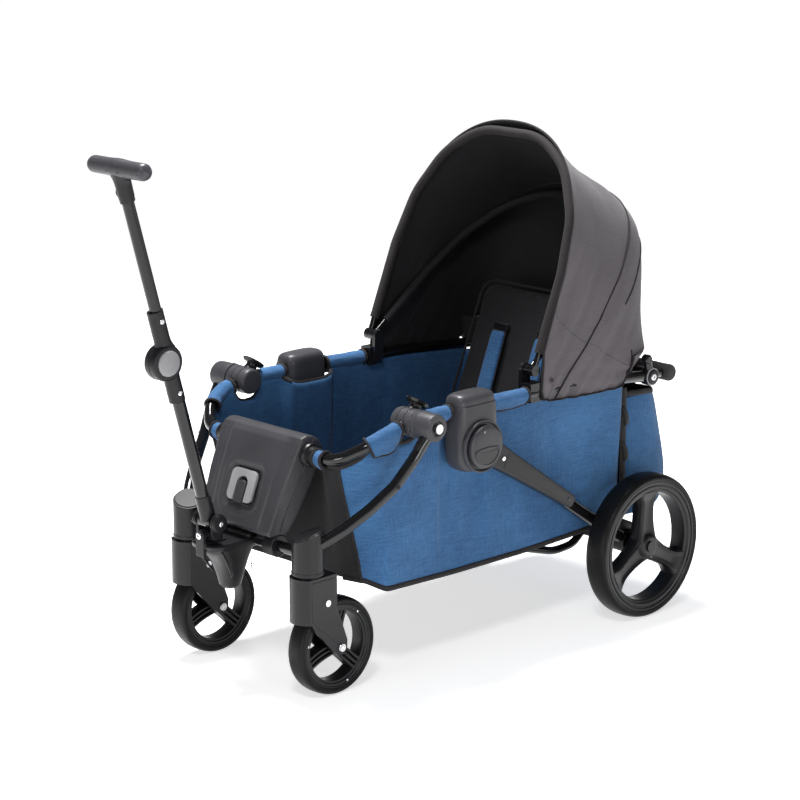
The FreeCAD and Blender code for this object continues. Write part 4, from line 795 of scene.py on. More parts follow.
def knob(side, word):
    """The lock knob: a dished disc with a crescent grip."""
    body = "lock_knob_" + word
    centre = pt(267.4 * side, HOUSE_RUN, HOUSE_Z)
    profile = [(0, 0), (0, 40.0), (4.5, 41.0), (7.4, 40.2), (9.2, 38.0), (10.0, 34.0), (10.4, 24.0), (10.5, 0)]
    obj = lathe("knob_" + word, profile, centre, (side, 0, 0), "satin", body, 72, 30)
    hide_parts(body)

    def moon(radius, drop, lift):
        points = []
        for k in range(25):
            turn = math.radians(188 + 164 * k / 24)
            points.append(centre + Vector((lift * side * MM, math.cos(turn) * radius * MM,
                                           (math.sin(turn) * radius + drop) * MM)))
        for k in range(9):
            turn = math.radians(-8 - (164 * k / 8))
            points.append(centre + Vector((lift * side * MM, math.cos(turn) * radius * 0.98 * MM,
                                           (math.sin(turn) * radius * 0.22 + drop) * MM)))
        return points
    prism("knob_scoop_" + word, moon(31, -2, 9.9), 0, 1.1, (side, 0, 0), "gloss", body, 0.4, 2)
    lip = moon(31.5, -2, 11.2)[:25]
    sweep("knob_lip_" + word, lip, (1.5, 1.5), "satin", body, 10)
    upper = [centre + Vector((10.6 * side * MM, math.cos(a) * 31 * MM, (math.sin(a) * 5 - 6) * MM))
             for a in [math.radians(v) for v in range(5, 176, 8)]]
    sweep("knob_edge_" + word, upper, (1.8, 1.8), "satin", body, 10)
    lathe("knob_dot_" + word, [(0, 0), (0, 2.2), (0.7, 2.2), (0.9, 1.6), (0.9, 0)],
          centre + Vector((9.9 * side * MM, -8 * MM, 30 * MM)), (side, 0, 0), "light", body, 20)


def rear_arm(side, word):
    """The tapering arm from the disc to the leg tube, with a raised rim."""
    dy, dz = 453.0, -285.0
    length = math.hypot(dy, dz)
    dy, dz = dy / length, dz / length

    def corner(distance, half, x):
        return pt(x, HOUSE_RUN + dy * distance - dz * half, HOUSE_Z + dz * distance + dy * half)

    def outline(x, start, end, low, high, steps=14):
        top, bottom = [], []
        for k in range(steps + 1):
            share = k / steps
            distance = start + (end - start) * share
            half = low + (high - low) * share ** 0.7
            top.append(corner(distance, half, x))
            bottom.append(corner(distance, -half, x))
        end_round = []
        for k in range(1, 8):
            turn = math.pi / 2 - math.pi * k / 8
            end_round.append(corner(end + math.cos(turn) * high * 0.55, math.sin(turn) * high, x))
        return top + end_round + bottom[::-1]
    x = 238 * side
    prism("arm_" + word, outline(x, 30, 292, 26, 13.0), 4.0, 30.0, (side, 0, 0), "plastic", "rear_frame", 5.0, 4)
    prism("arm_panel_" + word, outline(x, 72, 270, 15, 7.5), 29.0, 31.0, (side, 0, 0), "plastic", "rear_frame", 1.2,
          2)
    bolt_head("arm_rivet_" + word, corner(62, 0, 268.6 * side), (side, 0, 0), 4.6, 1.8, "rear_frame", recess=0.3)
    bolt_head("arm_screw_" + word, corner(278, 0, 268.0 * side), (side, 0, 0), 3.6, 1.4, "rear_frame", "gloss", 0.3)


def rear_axle_drum(side, word):
    """The drum and block that hold the rear axle beside a wheel."""
    profile = [(0, 0), (0, 20), (3, 24), (30, 24.5), (38, 22), (40, 17), (40, 0)]
    lathe("axle_drum_" + word, profile, pt(200 * side, REAR_RUN, REAR_RADIUS), (side, 0, 0), "plastic", "rear_frame",
          48, 35)
    rounded_block("axle_box_" + word, pt(218 * side, 735, 172), (30, 46, 34), "plastic", "rear_frame", 7,
                  Matrix.Rotation(math.radians(-24), 3, "X"))


# ---------------------------------------------------------------- leg hinges

def leg_hinge(side, word):
    """Both halves of the rail's leg hinge, the accessory stub and the leg's socket."""
    y, z = HINGE_RUN, HINGE_Z
    x = 200 * side
    inner = [(0, 0), (0, 21), (2, 23.5), (6, 25.0), (16, 25.4), (17, 24.2), (19, 24.2), (20, 25.6), (33, 25.8),
             (34, 24.6), (36, 24.6), (37, 25.8), (50, 26.0), (51.5, 25.0), (52, 22), (52, 0)]
    first = lathe("hinge_inner_" + word, inner, pt(x, y, z), (side, 0, 0), "satin", "frame", 56, 28)
    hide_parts("rail_t_joints")
    outer = [(0, 0), (0, 23), (0.8, 26.4), (8, 27.2), (9, 26.2), (38, 25.8), (43.5, 25.0), (46.5, 22.6),
             (47.2, 19.0), (46.8, 14.2), (42.5, 13.4), (42.5, 0)]
    second = lathe("hinge_outer_" + word, outer, pt(253 * side, y, z), (side, 0, 0), "satin", "front_frame", 56, 28)
    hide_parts("leg_hubs")
    bolt_head("hinge_bolt_" + word, pt(295.4 * side, y, z), (side, 0, 0), 5.4, 4.5, "frame", recess=0.4)
    lean = Vector((0, 0.60042, 0.79968))
    base = pt(224 * side, y, z)
    lathe("stub_" + word, [(14, 0), (14, 14.5), (24, 13.2), (27, 11.4), (32, 10.6), (35, 12.0), (35, 0)], base, lean,
          "plastic", "frame", 40)
    disc = [(34, 0), (34, 9.0), (35.5, 19.0), (39.5, 22.5), (41.0, 22.3), (40.0, 19.5), (37.4, 12.0), (37.0, 0)]
    plate = lathe("accessory_disc_" + word, disc, base, lean, "gloss", "frame", 56)
    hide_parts("accessory_adaptors")
    sleeve_at = smooth_path([pt(284 * side, 125, 480), pt(280 * side, 108, 457)], 4)
    sweep("leg_socket_" + word, sleeve_at, (11.4, 11.4), "gloss", "front_frame")
    bolt_head("leg_pin_" + word, pt(273 * side, 66, 397), (side, 0, 0), 4.0, 2.0, "front_frame", "plastic", 0.3)


# ---------------------------------------------------------------- front box

def box_section():
    """The box from the side as (run, height), starting behind the top, round the front to the foot and back."""
    corners = [(38, 447), (28, 462), (14, 471), (0, 474), (-14, 470), (-25, 461), (-34, 444), (-60, 388), (-91, 305),
               (-84, 296), (-60, 292), (-38, 296), (-14, 330), (36, 424)]
    line = rounded([Vector((a, b, 0)) for a, b in corners + [corners[0]]], 16, 5)
    path = []
    for first, second in zip(line, line[1:]):
        parts = max(1, int((second - first).length / 5.5))
        path += [first.lerp(second, k / parts) for k in range(parts)]
    return path


def box_front():
    """A tapering cover with two grooves, a raised middle and a recess for the button."""
    section = box_section()
    count = len(section)
    normals = []
    for i in range(count):
        along = (section[(i + 1) % count] - section[i - 1]).normalized()
        normals.append(Vector((-along.y, along.x, 0)))
    middle = sum(section, Vector()) / count
    if sum((p - middle).dot(n) for p, n in zip(section, normals)) < 0:
        normals = [-n for n in normals]
    edge = [(0.955 + 0.045 * math.sin(math.pi / 2 * k / 7),
             6.0 * (1 - math.cos(math.pi / 2 * k / 7))) for k in range(8)]
    inner = [(k / 30 * 0.955, 0.0) for k in range(30)]
    half_row = inner + edge
    row = [(-s, inset) for s, inset in half_row[::-1]] + half_row[1:]
    verts, faces = [], []
    for s, inset in row:
        for i, (p, n) in enumerate(zip(section, normals)):
            height = p.y
            half = 96 + (107.5 - 96) * max(0.0, min(1.0, (height - 300) / 170))
            x = s * half
            facing = max(0.0, -n.x)
            depth = inset
            if facing > 0.35 and 298 < height < 468:
                fade = min(1.0, (height - 298) / 14) * min(1.0, max(0.0, (470 - height) / 10))
                groove = math.exp(-((abs(x) - 77 * half / 107.5) / 2.6) ** 2)
                depth += 3.0 * groove * fade
                flank = 1 / (1 + math.exp(-(abs(x) - 81 * half / 107.5) / 1.6))
                depth += 3.2 * flank * fade
                dx = max(0.0, abs(x) - 30) / 15
                dz = max(0.0, abs(height - 372) - 22) / 15
                bowl = (dx * dx + dz * dz) ** 0.5
                depth += 5.0 / (1 + math.exp((bowl - 1.0) * 9))
                depth -= 1.6 * math.exp(-((bowl - 1.45) / 0.28) ** 2)
            verts.append(pt(x, p.x - n.x * depth, p.y - n.y * depth))
    for r in range(len(row) - 1):
        for i in range(count):
            j = (i + 1) % count
            faces.append((r * count + i, r * count + j, (r + 1) * count + j, (r + 1) * count + i))
    faces.append(tuple(range(count)))
    faces.append(tuple((len(row) - 1) * count + i for i in range(count))[::-1])
    obj = piece("box_cover", verts, faces, "grey", "frame", True, 42)
    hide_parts("front_box_shell")
    for side, word in SIDES:
        lug = [(0, 0), (0, 22), (9, 22.5), (12, 21), (13, 17.5), (24, 17), (25, 15.5), (25, 0)]
        lathe("box_lug_" + word, lug, pt(104 * side, 1, 438), (side, 0, 0), "plastic", "frame", 48, 30)
        seam = []
        for a, b in ((14, 467), (4, 448), (-8, 415), (-30, 370), (-54, 322), (-62, 300)):
            half = 96 + 11.5 * max(0.0, min(1.0, (b - 300) / 170))
            seam.append(pt((half - 0.2) * side, a, b))
        sweep("box_seam_" + word, smooth_path(seam, 6), (1.6, 1.6), "gloss", "frame", 8)
        hook = [(0, 0), (0, 19), (2, 21), (26, 21), (28, 19), (28, 0)]
        lathe("box_hook_" + word, hook, pt(70 * side, -63, 277), (side, 0, 0), "plastic", "frame", 48, 30)
        rounded_block("box_foot_" + word, pt(62 * side, -58, 291), (22, 40, 12), "plastic", "frame", 3)


def face_frame():
    """A point on the box's face at the button, its outward direction and its up direction."""
    up = Vector((0, 64, 158)).normalized()
    out = Vector((0, -up.z, up.y))
    return pt(0, -66.5, 373), out, up


def box_button():
    """The light button plate, its dark well and the grey lever in it."""
    centre, out, up = face_frame()
    across = Vector((1, 0, 0))

    def spot(x, z, lift):
        return centre + across * (x * MM) + up * (z * MM) + out * (lift * MM)

    def square(half_x, half_z, corner, lift, steps=7):
        points = []
        for sx, sz, start in ((1, 1, 0), (-1, 1, 90), (-1, -1, 180), (1, -1, 270)):
            for k in range(steps + 1):
                turn = math.radians(start + 90 * k / steps)
                points.append(spot(sx * (half_x - corner) + corner * math.cos(turn),
                                   sz * (half_z - corner) + corner * math.sin(turn), lift))
        return points
    outer = square(33, 30, 12, 0)
    slot = []
    for k in range(13):
        turn = math.radians(180 - 180 * k / 12)
        slot.append(spot(14 * math.cos(turn), 5 + 12 * math.sin(turn), 0))
    slot = [spot(-14, -30.0, 0)] + slot + [spot(14, -30.0, 0)]
    count = len(outer)
    start = min(range(count), key=lambda i: (outer[i] - spot(15, -30, 0)).length)
    ring = outer[start:] + outer[:start]
    ring = [p for p in ring if not (abs((p - centre).dot(across)) < 13.9 * MM and (p - centre).dot(up) < -29 * MM)]
    shape = ring + slot
    plate = prism("button_plate", shape, -5, 1.6, out, "light", "box_button", 0.9, 2)
    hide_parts("box_button")
    prism("button_well", square(37, 34, 14, 0), -7, -4.4, out, "gloss", "frame", 0.8, 2)
    lever = [spot(-10.5, -32, 0), spot(10.5, -32, 0), spot(11, 2, 0), spot(9.5, 6.5, 0), spot(4, 9.2, 0),
             spot(-4, 9.2, 0), spot(-9.5, 6.5, 0), spot(-11, 2, 0)]
    prism("button_lever", lever, -4, 3.0, out, "grey", "box_button", 1.8, 3)


# ---------------------------------------------------------------- pull handle

LEAN = math.radians(15.6)
HANDLE_UP = Vector((0, -math.sin(LEAN), math.cos(LEAN)))
HANDLE_AHEAD = Vector((0, -math.cos(LEAN), -math.sin(LEAN)))


def handle_at(distance, ahead=0.0, x=0.0):
    return pt(x, FOOT_RUN, FOOT_Z) + HANDLE_UP * (distance * MM) + HANDLE_AHEAD * (ahead * MM)


def handle_foot():
    """The tapering bucket, its ears and the handle's crossed pivots."""
    levels = [(187, -15, 15, -113, -83, 2.2), (192, -19, 19, -118, -79, 2.3), (215, -24, 24, -123, -74, 2.6),
              (240, -30, 30, -132, -68, 3.0), (258, -35, 35, -146, -62, 3.4), (268, -37.5, 37.5, -158, -58, 3.8),
              (272, -39, 39, -166, -57, 4.2), (279, -39, 39, -168, -57, 4.2), (282, -37, 37, -165, -59, 4.0)]
    bucket = pod("bucket", levels, "plastic", "front_frame", 56, 30)
    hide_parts("handle_bracket")
    for x, word in ((39.2, "left"), (-39.2, "right")):
        rib = [pt(x, -150, 270), pt(x * 0.9, -134, 244), pt(x * 0.7, -116, 215)]
        sweep("bucket_rib_" + word, smooth_path(rib, 5), (1.8, 2.4), "plastic", "front_frame", 10)
    rounded_block("bucket_back", pt(0, -64, 276), (62, 30, 30), "plastic", "front_frame", 8)
    for y, word in ((-166.2, "front"), (-127, "rear")):
        ear = [pt(-11, y, 258), pt(11, y, 258)]
        ear += [pt(10.5 * math.cos(math.radians(a)), y, 298 + 10.5 * math.sin(math.radians(a))) for a in range(0,
                                                                                                               181,
                                                                                                               15)]
        prism("ear_" + word, ear, -3.8, 3.8, (0, 1, 0), "plastic", "front_frame", 1.4, 3)
    rounded_block("ear_bridge", pt(0, -142, 280), (26, 54, 12), "plastic", "front_frame", 4)
    bolt_head("tilt_bolt", pt(0, -170.2, 298), (0, -1, 0), 6.6, 3.2, "front_frame")
    bolt_head("bucket_bolt", pt(16, -62, 222), Vector((0.7, 0.7, 0)), 6.0, 3.0, "front_frame")
    from_cad("handle_tilt_block", "plastic", 1.6, 3)
    for side, radius in ((1, 17.0), (-1, 14.0)):
        ribs = [(0, 0), (0, radius), (2.5, radius), (3.2, radius - 1.4), (4.2, radius - 1.4), (5, radius - 0.2),
                (7.5, radius - 0.4), (8.2, radius - 1.8), (9.2, radius - 1.8), (10, radius - 1.0),
                (11.5, radius - 3.0), (12, 0)]
        lathe("foot_disc_" + ("left" if side > 0 else "right"), ribs, pt(22.5 * side, FOOT_RUN, FOOT_Z),
              (side, 0, 0), "plastic", "handle_yoke", 44, 30)
    bolt_head("foot_bolt", pt(34.2, FOOT_RUN, FOOT_Z), (1, 0, 0), 5.0, 2.4, "handle_yoke")
    sweep("foot_collar", [handle_at(6), handle_at(14), handle_at(44), handle_at(52)],
          lambda t: (15.6 - 1.6 * t, 15.0 - 1.6 * t), "plastic", "handle_lower", 32)


def collar(name, start, end, body, flare_low, flare_high, material="plastic"):
    """An oval moulded collar on the handle tube."""
    points = [handle_at(start + (end - start) * k / 20, 2.0) for k in range(21)]

    def section(t):
        grow = flare_low * max(0.0, 1 - t / 0.3) ** 2 + flare_high * max(0.0, (t - 0.7) / 0.3) ** 2
        return 13.6 + grow * 0.25, 15.6 + grow
    return sweep(name, points, section, material, body, 36)


def mid_joint():
    """The handle's fold joint: two drums, its button and two collars."""
    centre = handle_at(325, 11)
    upper = [(0.4, 0), (0.4, 31.5), (1.6, 33.0), (10.5, 33.2), (13.6, 32.0), (15.4, 29.0), (15.6, 24.4),
             (14.0, 23.9), (14.0, 0)]
    lower = [(0.4, 0), (0.4, 31.5), (1.6, 33.0), (10.5, 33.2), (13.6, 32.0), (15.4, 29.0), (16.4, 14.0), (16.6, 0)]
    first = lathe("fold_drum_upper", upper, centre, (1, 0, 0), "plastic", "handle_upper", 64, 28)
    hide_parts("mid_joint_upper")
    second = lathe("fold_drum_lower", lower, centre, (-1, 0, 0), "plastic", "handle_lower", 64, 28)
    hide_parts("mid_joint_lower")
    cap = [(13.0, 0), (13.0, 23.4), (16.4, 23.4), (18.6, 22.2), (19.6, 19.0), (20.0, 0)]
    button = lathe("fold_button", cap, centre, (1, 0, 0), "light", "handle_button", 64, 35)
    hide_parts("mid_joint_button")
    collar("fold_collar_upper", 345, 421, "handle_upper", 7.0, 0.0)
    collar("fold_collar_lower", 246, 306, "handle_lower", 0.0, 7.0)
    for distance, body, word in ((402, "handle_upper", "upper"), (262, "handle_lower", "lower")):
        bolt_head("collar_rivet_" + word, handle_at(distance, 2.0, 13.4), (1, 0, 0), 4.6, 1.8, body, recess=0.3)
        lathe("collar_rivet_back_" + word, [(0, 0), (0, 4.6), (1.6, 3.2), (1.8, 0)], handle_at(distance, 2.0, -13.4),
              (-1, 0, 0), "steel", body, 24)


def grip():
    """A T grip: a soft-edged bar on a neck that flares out of the tube."""
    top = handle_at(690)
    points, half = [], 78
    for k in range(33):
        s = -1 + 2 * k / 32
        points.append(top + Vector((s * (half - 0.5) * MM, 0, 0)))

    def section(t):
        s = abs(2 * t - 1)
        end = max(0.0, 1 - max(0.0, (s - 0.82) / 0.18) ** 2.4) ** 0.5
        swell = 1.0 + 0.10 * math.exp(-(s / 0.22) ** 2)
        return max(0.6, 15.4 * end * swell), max(0.6, 16.0 * end * swell)
    bar = sweep("grip_bar", points, section, "satin", "handle_upper", 32, sharp=60)
    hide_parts("handle_grip")

    def neck(t):
        return 13.6 + 15.0 * max(0.0, (t - 0.45) / 0.55) ** 2.2, 14.6 + 1.5 * t
    sweep("grip_neck", [handle_at(636 + 48 * k / 16) for k in range(17)], neck, "plastic", "handle_upper", 36,
          sharp=60)
    sweep("grip_collar", [handle_at(628 + 12 * k / 4) for k in range(5)], (13.0, 14.0), "plastic", "handle_upper", 32)
    for x in (-14, 14):
        lathe("grip_screw_%s" % ("a" if x > 0 else "b"), [(0, 0), (0, 3.2), (0.6, 3.2), (0.6, 0)],
              top + Vector((x * MM, -15.6 * MM, -3 * MM)), (0, -1, 0.1), "gloss", "handle_upper", 20)
    eye = [top - HANDLE_UP * 0.047 + Vector((-13 * MM, 0, 0)) + Vector((-6 * MM * (1 - math.cos(a)), 0,
                                                                        7 * MM * math.sin(a)))
           for a in [math.radians(v) for v in range(0, 361, 20)]]
    sweep("lanyard_eye", eye, (1.8, 1.8), "plastic", "handle_upper", 10, caps=False)


# ---------------------------------------------------------------- push handle

def push_handle():
    """The foam bar, its hinge bases and the short posts above them."""
    y = PUSH_RUN + 78 - 4
    half = 222
    end = [(half - 9 * (1 - math.sin(k * math.pi / 12)), 17 - 9 * (1 - math.cos(k * math.pi / 12))) for k in range(7)]
    profile = [(-half, 0)] + [(-a, b) for a, b in end[::-1]]
    profile += [(-half + 12 + (2 * half - 24) * k / 24, 17.0 - 0.4 * (k % 2)) for k in range(25)] + end + [(half, 0)]
    obj = lathe("push_foam", profile, pt(0, y, 462), (1, 0, 0), "foam", "push_handle", 40, 50)
    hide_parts("push_handle_foam")
    for side, word in SIDES:
        centre = pt(214 * side, PUSH_RUN, PUSH_Z)
        profile = [(0, 0), (0, 17), (2, 18.2), (15, 18.4), (18, 17.4), (19, 15.2), (23, 14.6), (24, 12.6), (24, 8.5),
                   (21.5, 8.0), (21.5, 0)]
        base = lathe("push_base_" + word, profile, centre, (side, 0, 0), "plastic", "frame", 48, 30)
        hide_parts("push_hinge_bases")
        bolt_head("push_bolt_" + word, pt(235.4 * side, PUSH_RUN, PUSH_Z), (side, 0, 0), 7.4, 3.2, "frame")
        ring = [(18.6, 15.0), (18.6, 17.4), (20.4, 17.6), (20.8, 16.0), (20.4, 14.8)]
        lathe("push_ring_" + word, ring, centre, (side, 0, 0), "light", "frame", 44, 30)
        hub = [(0, 6.2), (0, 15), (1.5, 16.2), (15, 16.2), (17.5, 14.5), (17.5, 6.2)]
        lathe("push_hub_" + word, hub, pt(195 * side, PUSH_RUN, PUSH_Z), (side, 0, 0), "plastic", "push_handle", 40,
              30)
        post = [pt(226 * side, 806, 476), pt(226 * side, 800, 492), pt(226 * side, 797, 505),
                pt(226 * side, 795, 511)]
        sweep("rear_post_" + word, smooth_path(post, 5), lambda t: (8.5, 9.5 - 2.0 * t), "gloss", "frame", 24)
        lathe("rear_post_cap_" + word, [(0, 0), (0, 7), (3, 9.5), (14, 9.5), (17, 7), (17, 0)],
              pt(217.5 * side, 796, 505), (side, 0, 0), "gloss", "frame", 36)


# ---------------------------------------------------------------- soft goods

def rail_at(run, side=1):
    """The centre of the side rail at a distance along the wagon, in mm."""
    table = [(0, 138, 436), (10, 170, 437), (24, 191, 447), (40, 208, 461), (60, 221, 473), (88, 229, 485),
             (126, 227, 495), (160, 227, 497), (291, 226, 497), (430, 222.5, 493), (560, 220, 489), (806, 220, 469)]
    for (a, xa, za), (b, xb, zb) in zip(table, table[1:]):
        if run <= b:
            t = (run - a) / (b - a)
            return (xa + (xb - xa) * t) * side, za + (zb - za) * t
    return table[-1][1] * side, table[-1][2]


def smooth_step(low, high, value):
    t = max(0.0, min(1.0, (value - low) / (high - low)))
    return t * t * (3 - 2 * t)


def notch(run, low, high, edge):
    """1 between low and high, fading to 0 over edge."""
    return smooth_step(low - edge, low + edge, run) * (1 - smooth_step(high - edge, high + edge, run))


def basket_outline():
    """The left half of the basket: rows of (top, bottom) points in mm from the front middle to the rear middle."""
    stations = []
    for x in (0, 24, 48, 72, 92):
        stations.append(((x, 44 - 0.0006 * x * x, 428), (x, 56, 199)))
    stations.append(((106, 36, 428), (108, 56, 199)))
    for x, run in ((122, 17), (136, 9), (152, 8), (168, 12)):
        stations.append(((x, run, 424), (x - 2, 56 + 10 * smooth_step(122, 172, x), 199.5)))
    side = [14, 20, 28, 38, 50, 64,
            76] + list(range(86, 200, 5)) + list(range(206, 228, 7)) + list(range(230, 366, 5))
    side += list(range(374, 724, 13)) + [728]
    for run in side:
        x_rail, z_rail = rail_at(run)
        top_x = min(x_rail - 3, 219)
        gap = 13 * notch(run, -20, 52, 10) + 34 * max(0.0, 1 - (abs(run - 139) / 36) ** 3.2)
        pod_gap = max(0.0, 1 - (abs(run - 291) / 66) ** 4)
        top_z = z_rail - 4 - gap - 20 * pod_gap
        top_x -= 17 * notch(run, 232, 350, 8)
        low_run = 67 + (run - 14) * 0.384 if run < 100 else run
        low_x = 176 + 36 * smooth_step(14, 110, run)
        low_z = 186 + 14 * (1 - smooth_step(14, 100, run)) - 5 * notch(run, 180, 560, 120)
        stations.append(((top_x, run, top_z), (low_x, low_run, low_z)))
    for x, run in ((213, 738), (204, 744), (190, 746), (160, 746), (120, 746), (80, 746), (40, 746), (0, 746)):
        stations.append(((x, run, 470 - 6), (min(x, 204), run - (4 if x > 200 else 0), 184)))
    return stations


def folds(x, run, share, scale):
    """Soft uneven folds in stretched cloth, in mm."""
    value = noise.noise(Vector((x * 0.006 + 3.1, run * 0.011, share * 1.3))) * 3.2
    value += noise.noise(Vector((x * 0.02, run * 0.030 + 7.7, share * 0.6))) * 2.0
    return value * scale


def basket():
    """The basket's cloth with its black front panel and floor, and its bindings."""
    half = basket_outline()
    loop = [(a, b, 1) for a, b in half] + [(a, b, -1) for a, b in half[-2:0:-1]]
    count = len(loop)
    rows = 22
    black_until = 10  # the columns of cloth each side of the front's middle that are black
    verts, faces, kinds = [], [], []
    for r in range(rows + 1):
        share = r / rows
        for top, bottom, side in loop:
            ease = share ** 1.15
            x = top[0] + (bottom[0] - top[0]) * ease
            run = top[1] + (bottom[1] - top[1]) * share
            z = top[2] + (bottom[2] - top[2]) * share
            hang = math.sin(math.pi * share)
            on_side = smooth_step(60, 130, run) * (1 - smooth_step(700, 740, run))
            wave = folds(x * side, run, share, 0.5 + 1.0 * hang)
            x -= 2.2 * hang * on_side
            x += wave * 0.8 * min(1.0, abs(x) / 150) * (1 if share < 0.98 else 0.3)
            tuck = math.exp(-(share / 0.05) ** 2)
            x -= 2.0 * tuck * on_side
            if run < 60:
                run += wave * 0.7 + 2.0 * hang
            verts.append(pt(x * side, run, z))
    for r in range(rows):
        for k in range(count):
            n = (k + 1) % count
            faces.append((r * count + k, r * count + n, (r + 1) * count + n, (r + 1) * count + k))
            kinds.append(1 if (k < black_until or k >= count - black_until) else 0)
    floor_rows = 6
    base = rows * count
    previous = [base + k for k in range(count)]
    for ring in range(1, floor_rows + 1):
        shrink = 1 - ring / (floor_rows + 0.6)
        current = []
        for k, (top, bottom, side) in enumerate(loop):
            edge = verts[base + k]
            centre = pt(0, 400, 181.5)
            place = centre + (edge - centre) * shrink
            place.z = 0.1815 + (edge.z - 0.1815) * max(0.0, shrink) ** 6
            current.append(len(verts))
            verts.append(place)
        for k in range(count):
            n = (k + 1) % count
            faces.append((previous[k], previous[n], current[n], current[k]))
            kinds.append(1)
        previous = current
    faces.append(tuple(previous))
    kinds.append(1)
    obj = piece("basket_cloth", verts, faces, ["blue", "black"], "frame", True, 60)
    for polygon, kind in zip(obj.data.polygons, kinds):
        polygon.material_index = kind
    thicken(obj, 1.8)
    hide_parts("basket")
    trims = []
    for side, word in SIDES:
        def line(indexes, row, lift=1.2):
            points = []
            for k in indexes:
                index = k if side > 0 else (count - k) % count
                p = verts[row * count + index].copy()
                p.x += lift * MM * side
                points.append(p)
            return points
        stations = len(half)
        bottom = line(range(7, stations - 8), rows, 0.8)
        trims.append(sweep("bottom_binding_" + word, bottom, (5.2, 2.6), "binding", "frame", 12))
        edge = black_until if side > 0 else count - black_until
        outward = Vector((1.0 * MM * side, -0.8 * MM, 0))
        seam = [verts[r * count + edge].copy() + outward for r in range(rows + 1)]
        trims.append(sweep("front_seam_" + word, seam, (2.4, 2.2), "binding", "frame", 10))
        top = line(range(5, 18), 0, 0.6)
        trims.append(sweep("top_binding_front_" + word, top, (2.2, 4.2), "binding", "frame", 12))
        edge = [k for k in range(stations) if half[k][0][1] > 92 and half[k][0][1] < 186 and half[k][0][0] > 150]
        trims.append(sweep("hinge_binding_" + word, line(edge, 0, 0.8), (2.0, 4.4), "binding", "frame", 12))
        edge = [k for k in range(stations) if 220 < half[k][0][1] < 364 and half[k][0][0] > 150]
        trims.append(sweep("housing_binding_" + word, line(edge, 0, 0.8), (2.2, 4.6), "binding", "frame", 12))
    return obj, trims


def sleeve(name, side, start, end, radius, droop=0.0, along_x=None, scallop=0.0):
    """Cloth wrapped round the rail, with a bound edge at each end and a skirt that hangs below."""
    points = []
    count = 22
    for k in range(count + 1):
        t = k / count
        if along_x:
            x = along_x[0] + (along_x[1] - along_x[0]) * t
            points.append(pt(x * side, 1.5, 436.5))
        else:
            run = start + (end - start) * t
            x, z = rail_at(run, side)
            points.append(pt(x, run, z))
    verts = []
    steps = 32
    for i, (p, (tangent, _, _)) in enumerate(zip(points, frames_along(points))):
        t = i / count
        down = Vector((0, 0, -1))
        down = (down - tangent * down.dot(tangent)).normalized()
        wide = tangent.cross(down)
        for k in range(steps):
            turn = 2 * math.pi * k / steps
            below = max(0.0, math.cos(turn)) ** 3
            swell = radius + 0.8 * noise.noise(Vector((k * 0.5, t * 4 + start * 0.1, side)))
            flap = math.sin(math.pi * t) ** 0.8 if not scallop else (0.62 + 0.38 * math.sin(math.pi * (t * 1.15 - 0.1)))
            hang = swell + droop * below * flap
            narrow = swell * (1 - 0.30 * below * (1 if droop else 0))
            verts.append(p + down * (math.cos(turn) * hang * MM) + wide * (math.sin(turn) * narrow * MM))
    obj = piece(name, verts, tube_faces(count + 1, steps, False), "blue", "frame", True, 60)
    thicken(obj, 1.0)
    for end_index, word in ((0, "a"), (count, "b")):
        ring = [verts[end_index * steps + k].copy() for k in range(steps)] + [verts[end_index * steps].copy()]
        sweep(name + "_binding_" + word, ring, (2.2, 3.2), "binding", "frame", 10, caps=False)
    if scallop:
        low = [verts[i * steps] + Vector((0, 0, 0.2 * MM)) for i in range(count + 1)]
        sweep(name + "_hem", low, (2.4, 2.4), "binding", "frame", 10)
    return obj


def sleeves():
    for side, word in SIDES:
        first = sleeve("sleeve_box_" + word, side, 0, 0, 14.5, 5.0, (130, 150), 1.0)
        sleeve("sleeve_corner_" + word, side, 48, 106, 14.4, 20.0, scallop=1.0)
        sleeve("sleeve_middle_" + word, side, 168, 236, 14.0, 5.0)
        sleeve("sleeve_rear_" + word, side, 348, 448, 13.8, 7.0, scallop=1.0)
        if side > 0:
            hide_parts("rail_sleeves")


def swollen(name, verts, faces, material, body, pressure, cap, voxel=5.0):
    """A padded piece: the closed mesh is remeshed and blown up a little as cloth, then kept."""
    mesh = bpy.data.meshes.new(name)
    mesh.from_pydata([tuple(v) for v in verts], [], faces)
    mesh.update()
    obj = finish_piece(name, mesh, material, body, True)
    remesh = obj.modifiers.new("remesh", "REMESH")
    remesh.mode = "VOXEL"
    remesh.voxel_size = voxel * MM
    apply_modifiers(obj)
    before = [v.co.copy() for v in obj.data.vertices]
    simulate(obj, pressure)
    for vertex, old in zip(obj.data.vertices, before):
        move = vertex.co - old
        if move.length > cap * MM:
            vertex.co = old + move.normalized() * (cap * MM)
    for polygon in obj.data.polygons:
        polygon.use_smooth = True
    subdivide(obj, 1)
    return obj


def apply_modifiers(obj):
    depsgraph = bpy.context.evaluated_depsgraph_get()
    mesh = bpy.data.meshes.new_from_object(obj.evaluated_get(depsgraph))
    obj.modifiers.clear()
    obj.data = mesh
    for polygon in mesh.polygons:
        polygon.use_smooth = True


def simulate(obj, pressure):
    cloth_modifier = obj.modifiers.new("cloth", "CLOTH")
    settings = cloth_modifier.settings
    settings.quality = 5
    settings.mass = 0.3
    settings.tension_stiffness = 15
    settings.compression_stiffness = 15
    settings.shear_stiffness = 5
    settings.bending_stiffness = 0.5
    settings.use_pressure = True
    settings.uniform_pressure_force = pressure
    settings.effector_weights.gravity = 0
    cloth_modifier.point_cache.frame_start = 1
    cloth_modifier.point_cache.frame_end = 20
    for step in range(1, 21):
        bpy.context.scene.frame_set(step)
    apply_modifiers(obj)
    bpy.context.scene.frame_set(1)


BACK_TURN = Matrix.Rotation(math.radians(-SEAT_LEAN), 3, "X")
BACK_LOW, BACK_HIGH = 160, 145


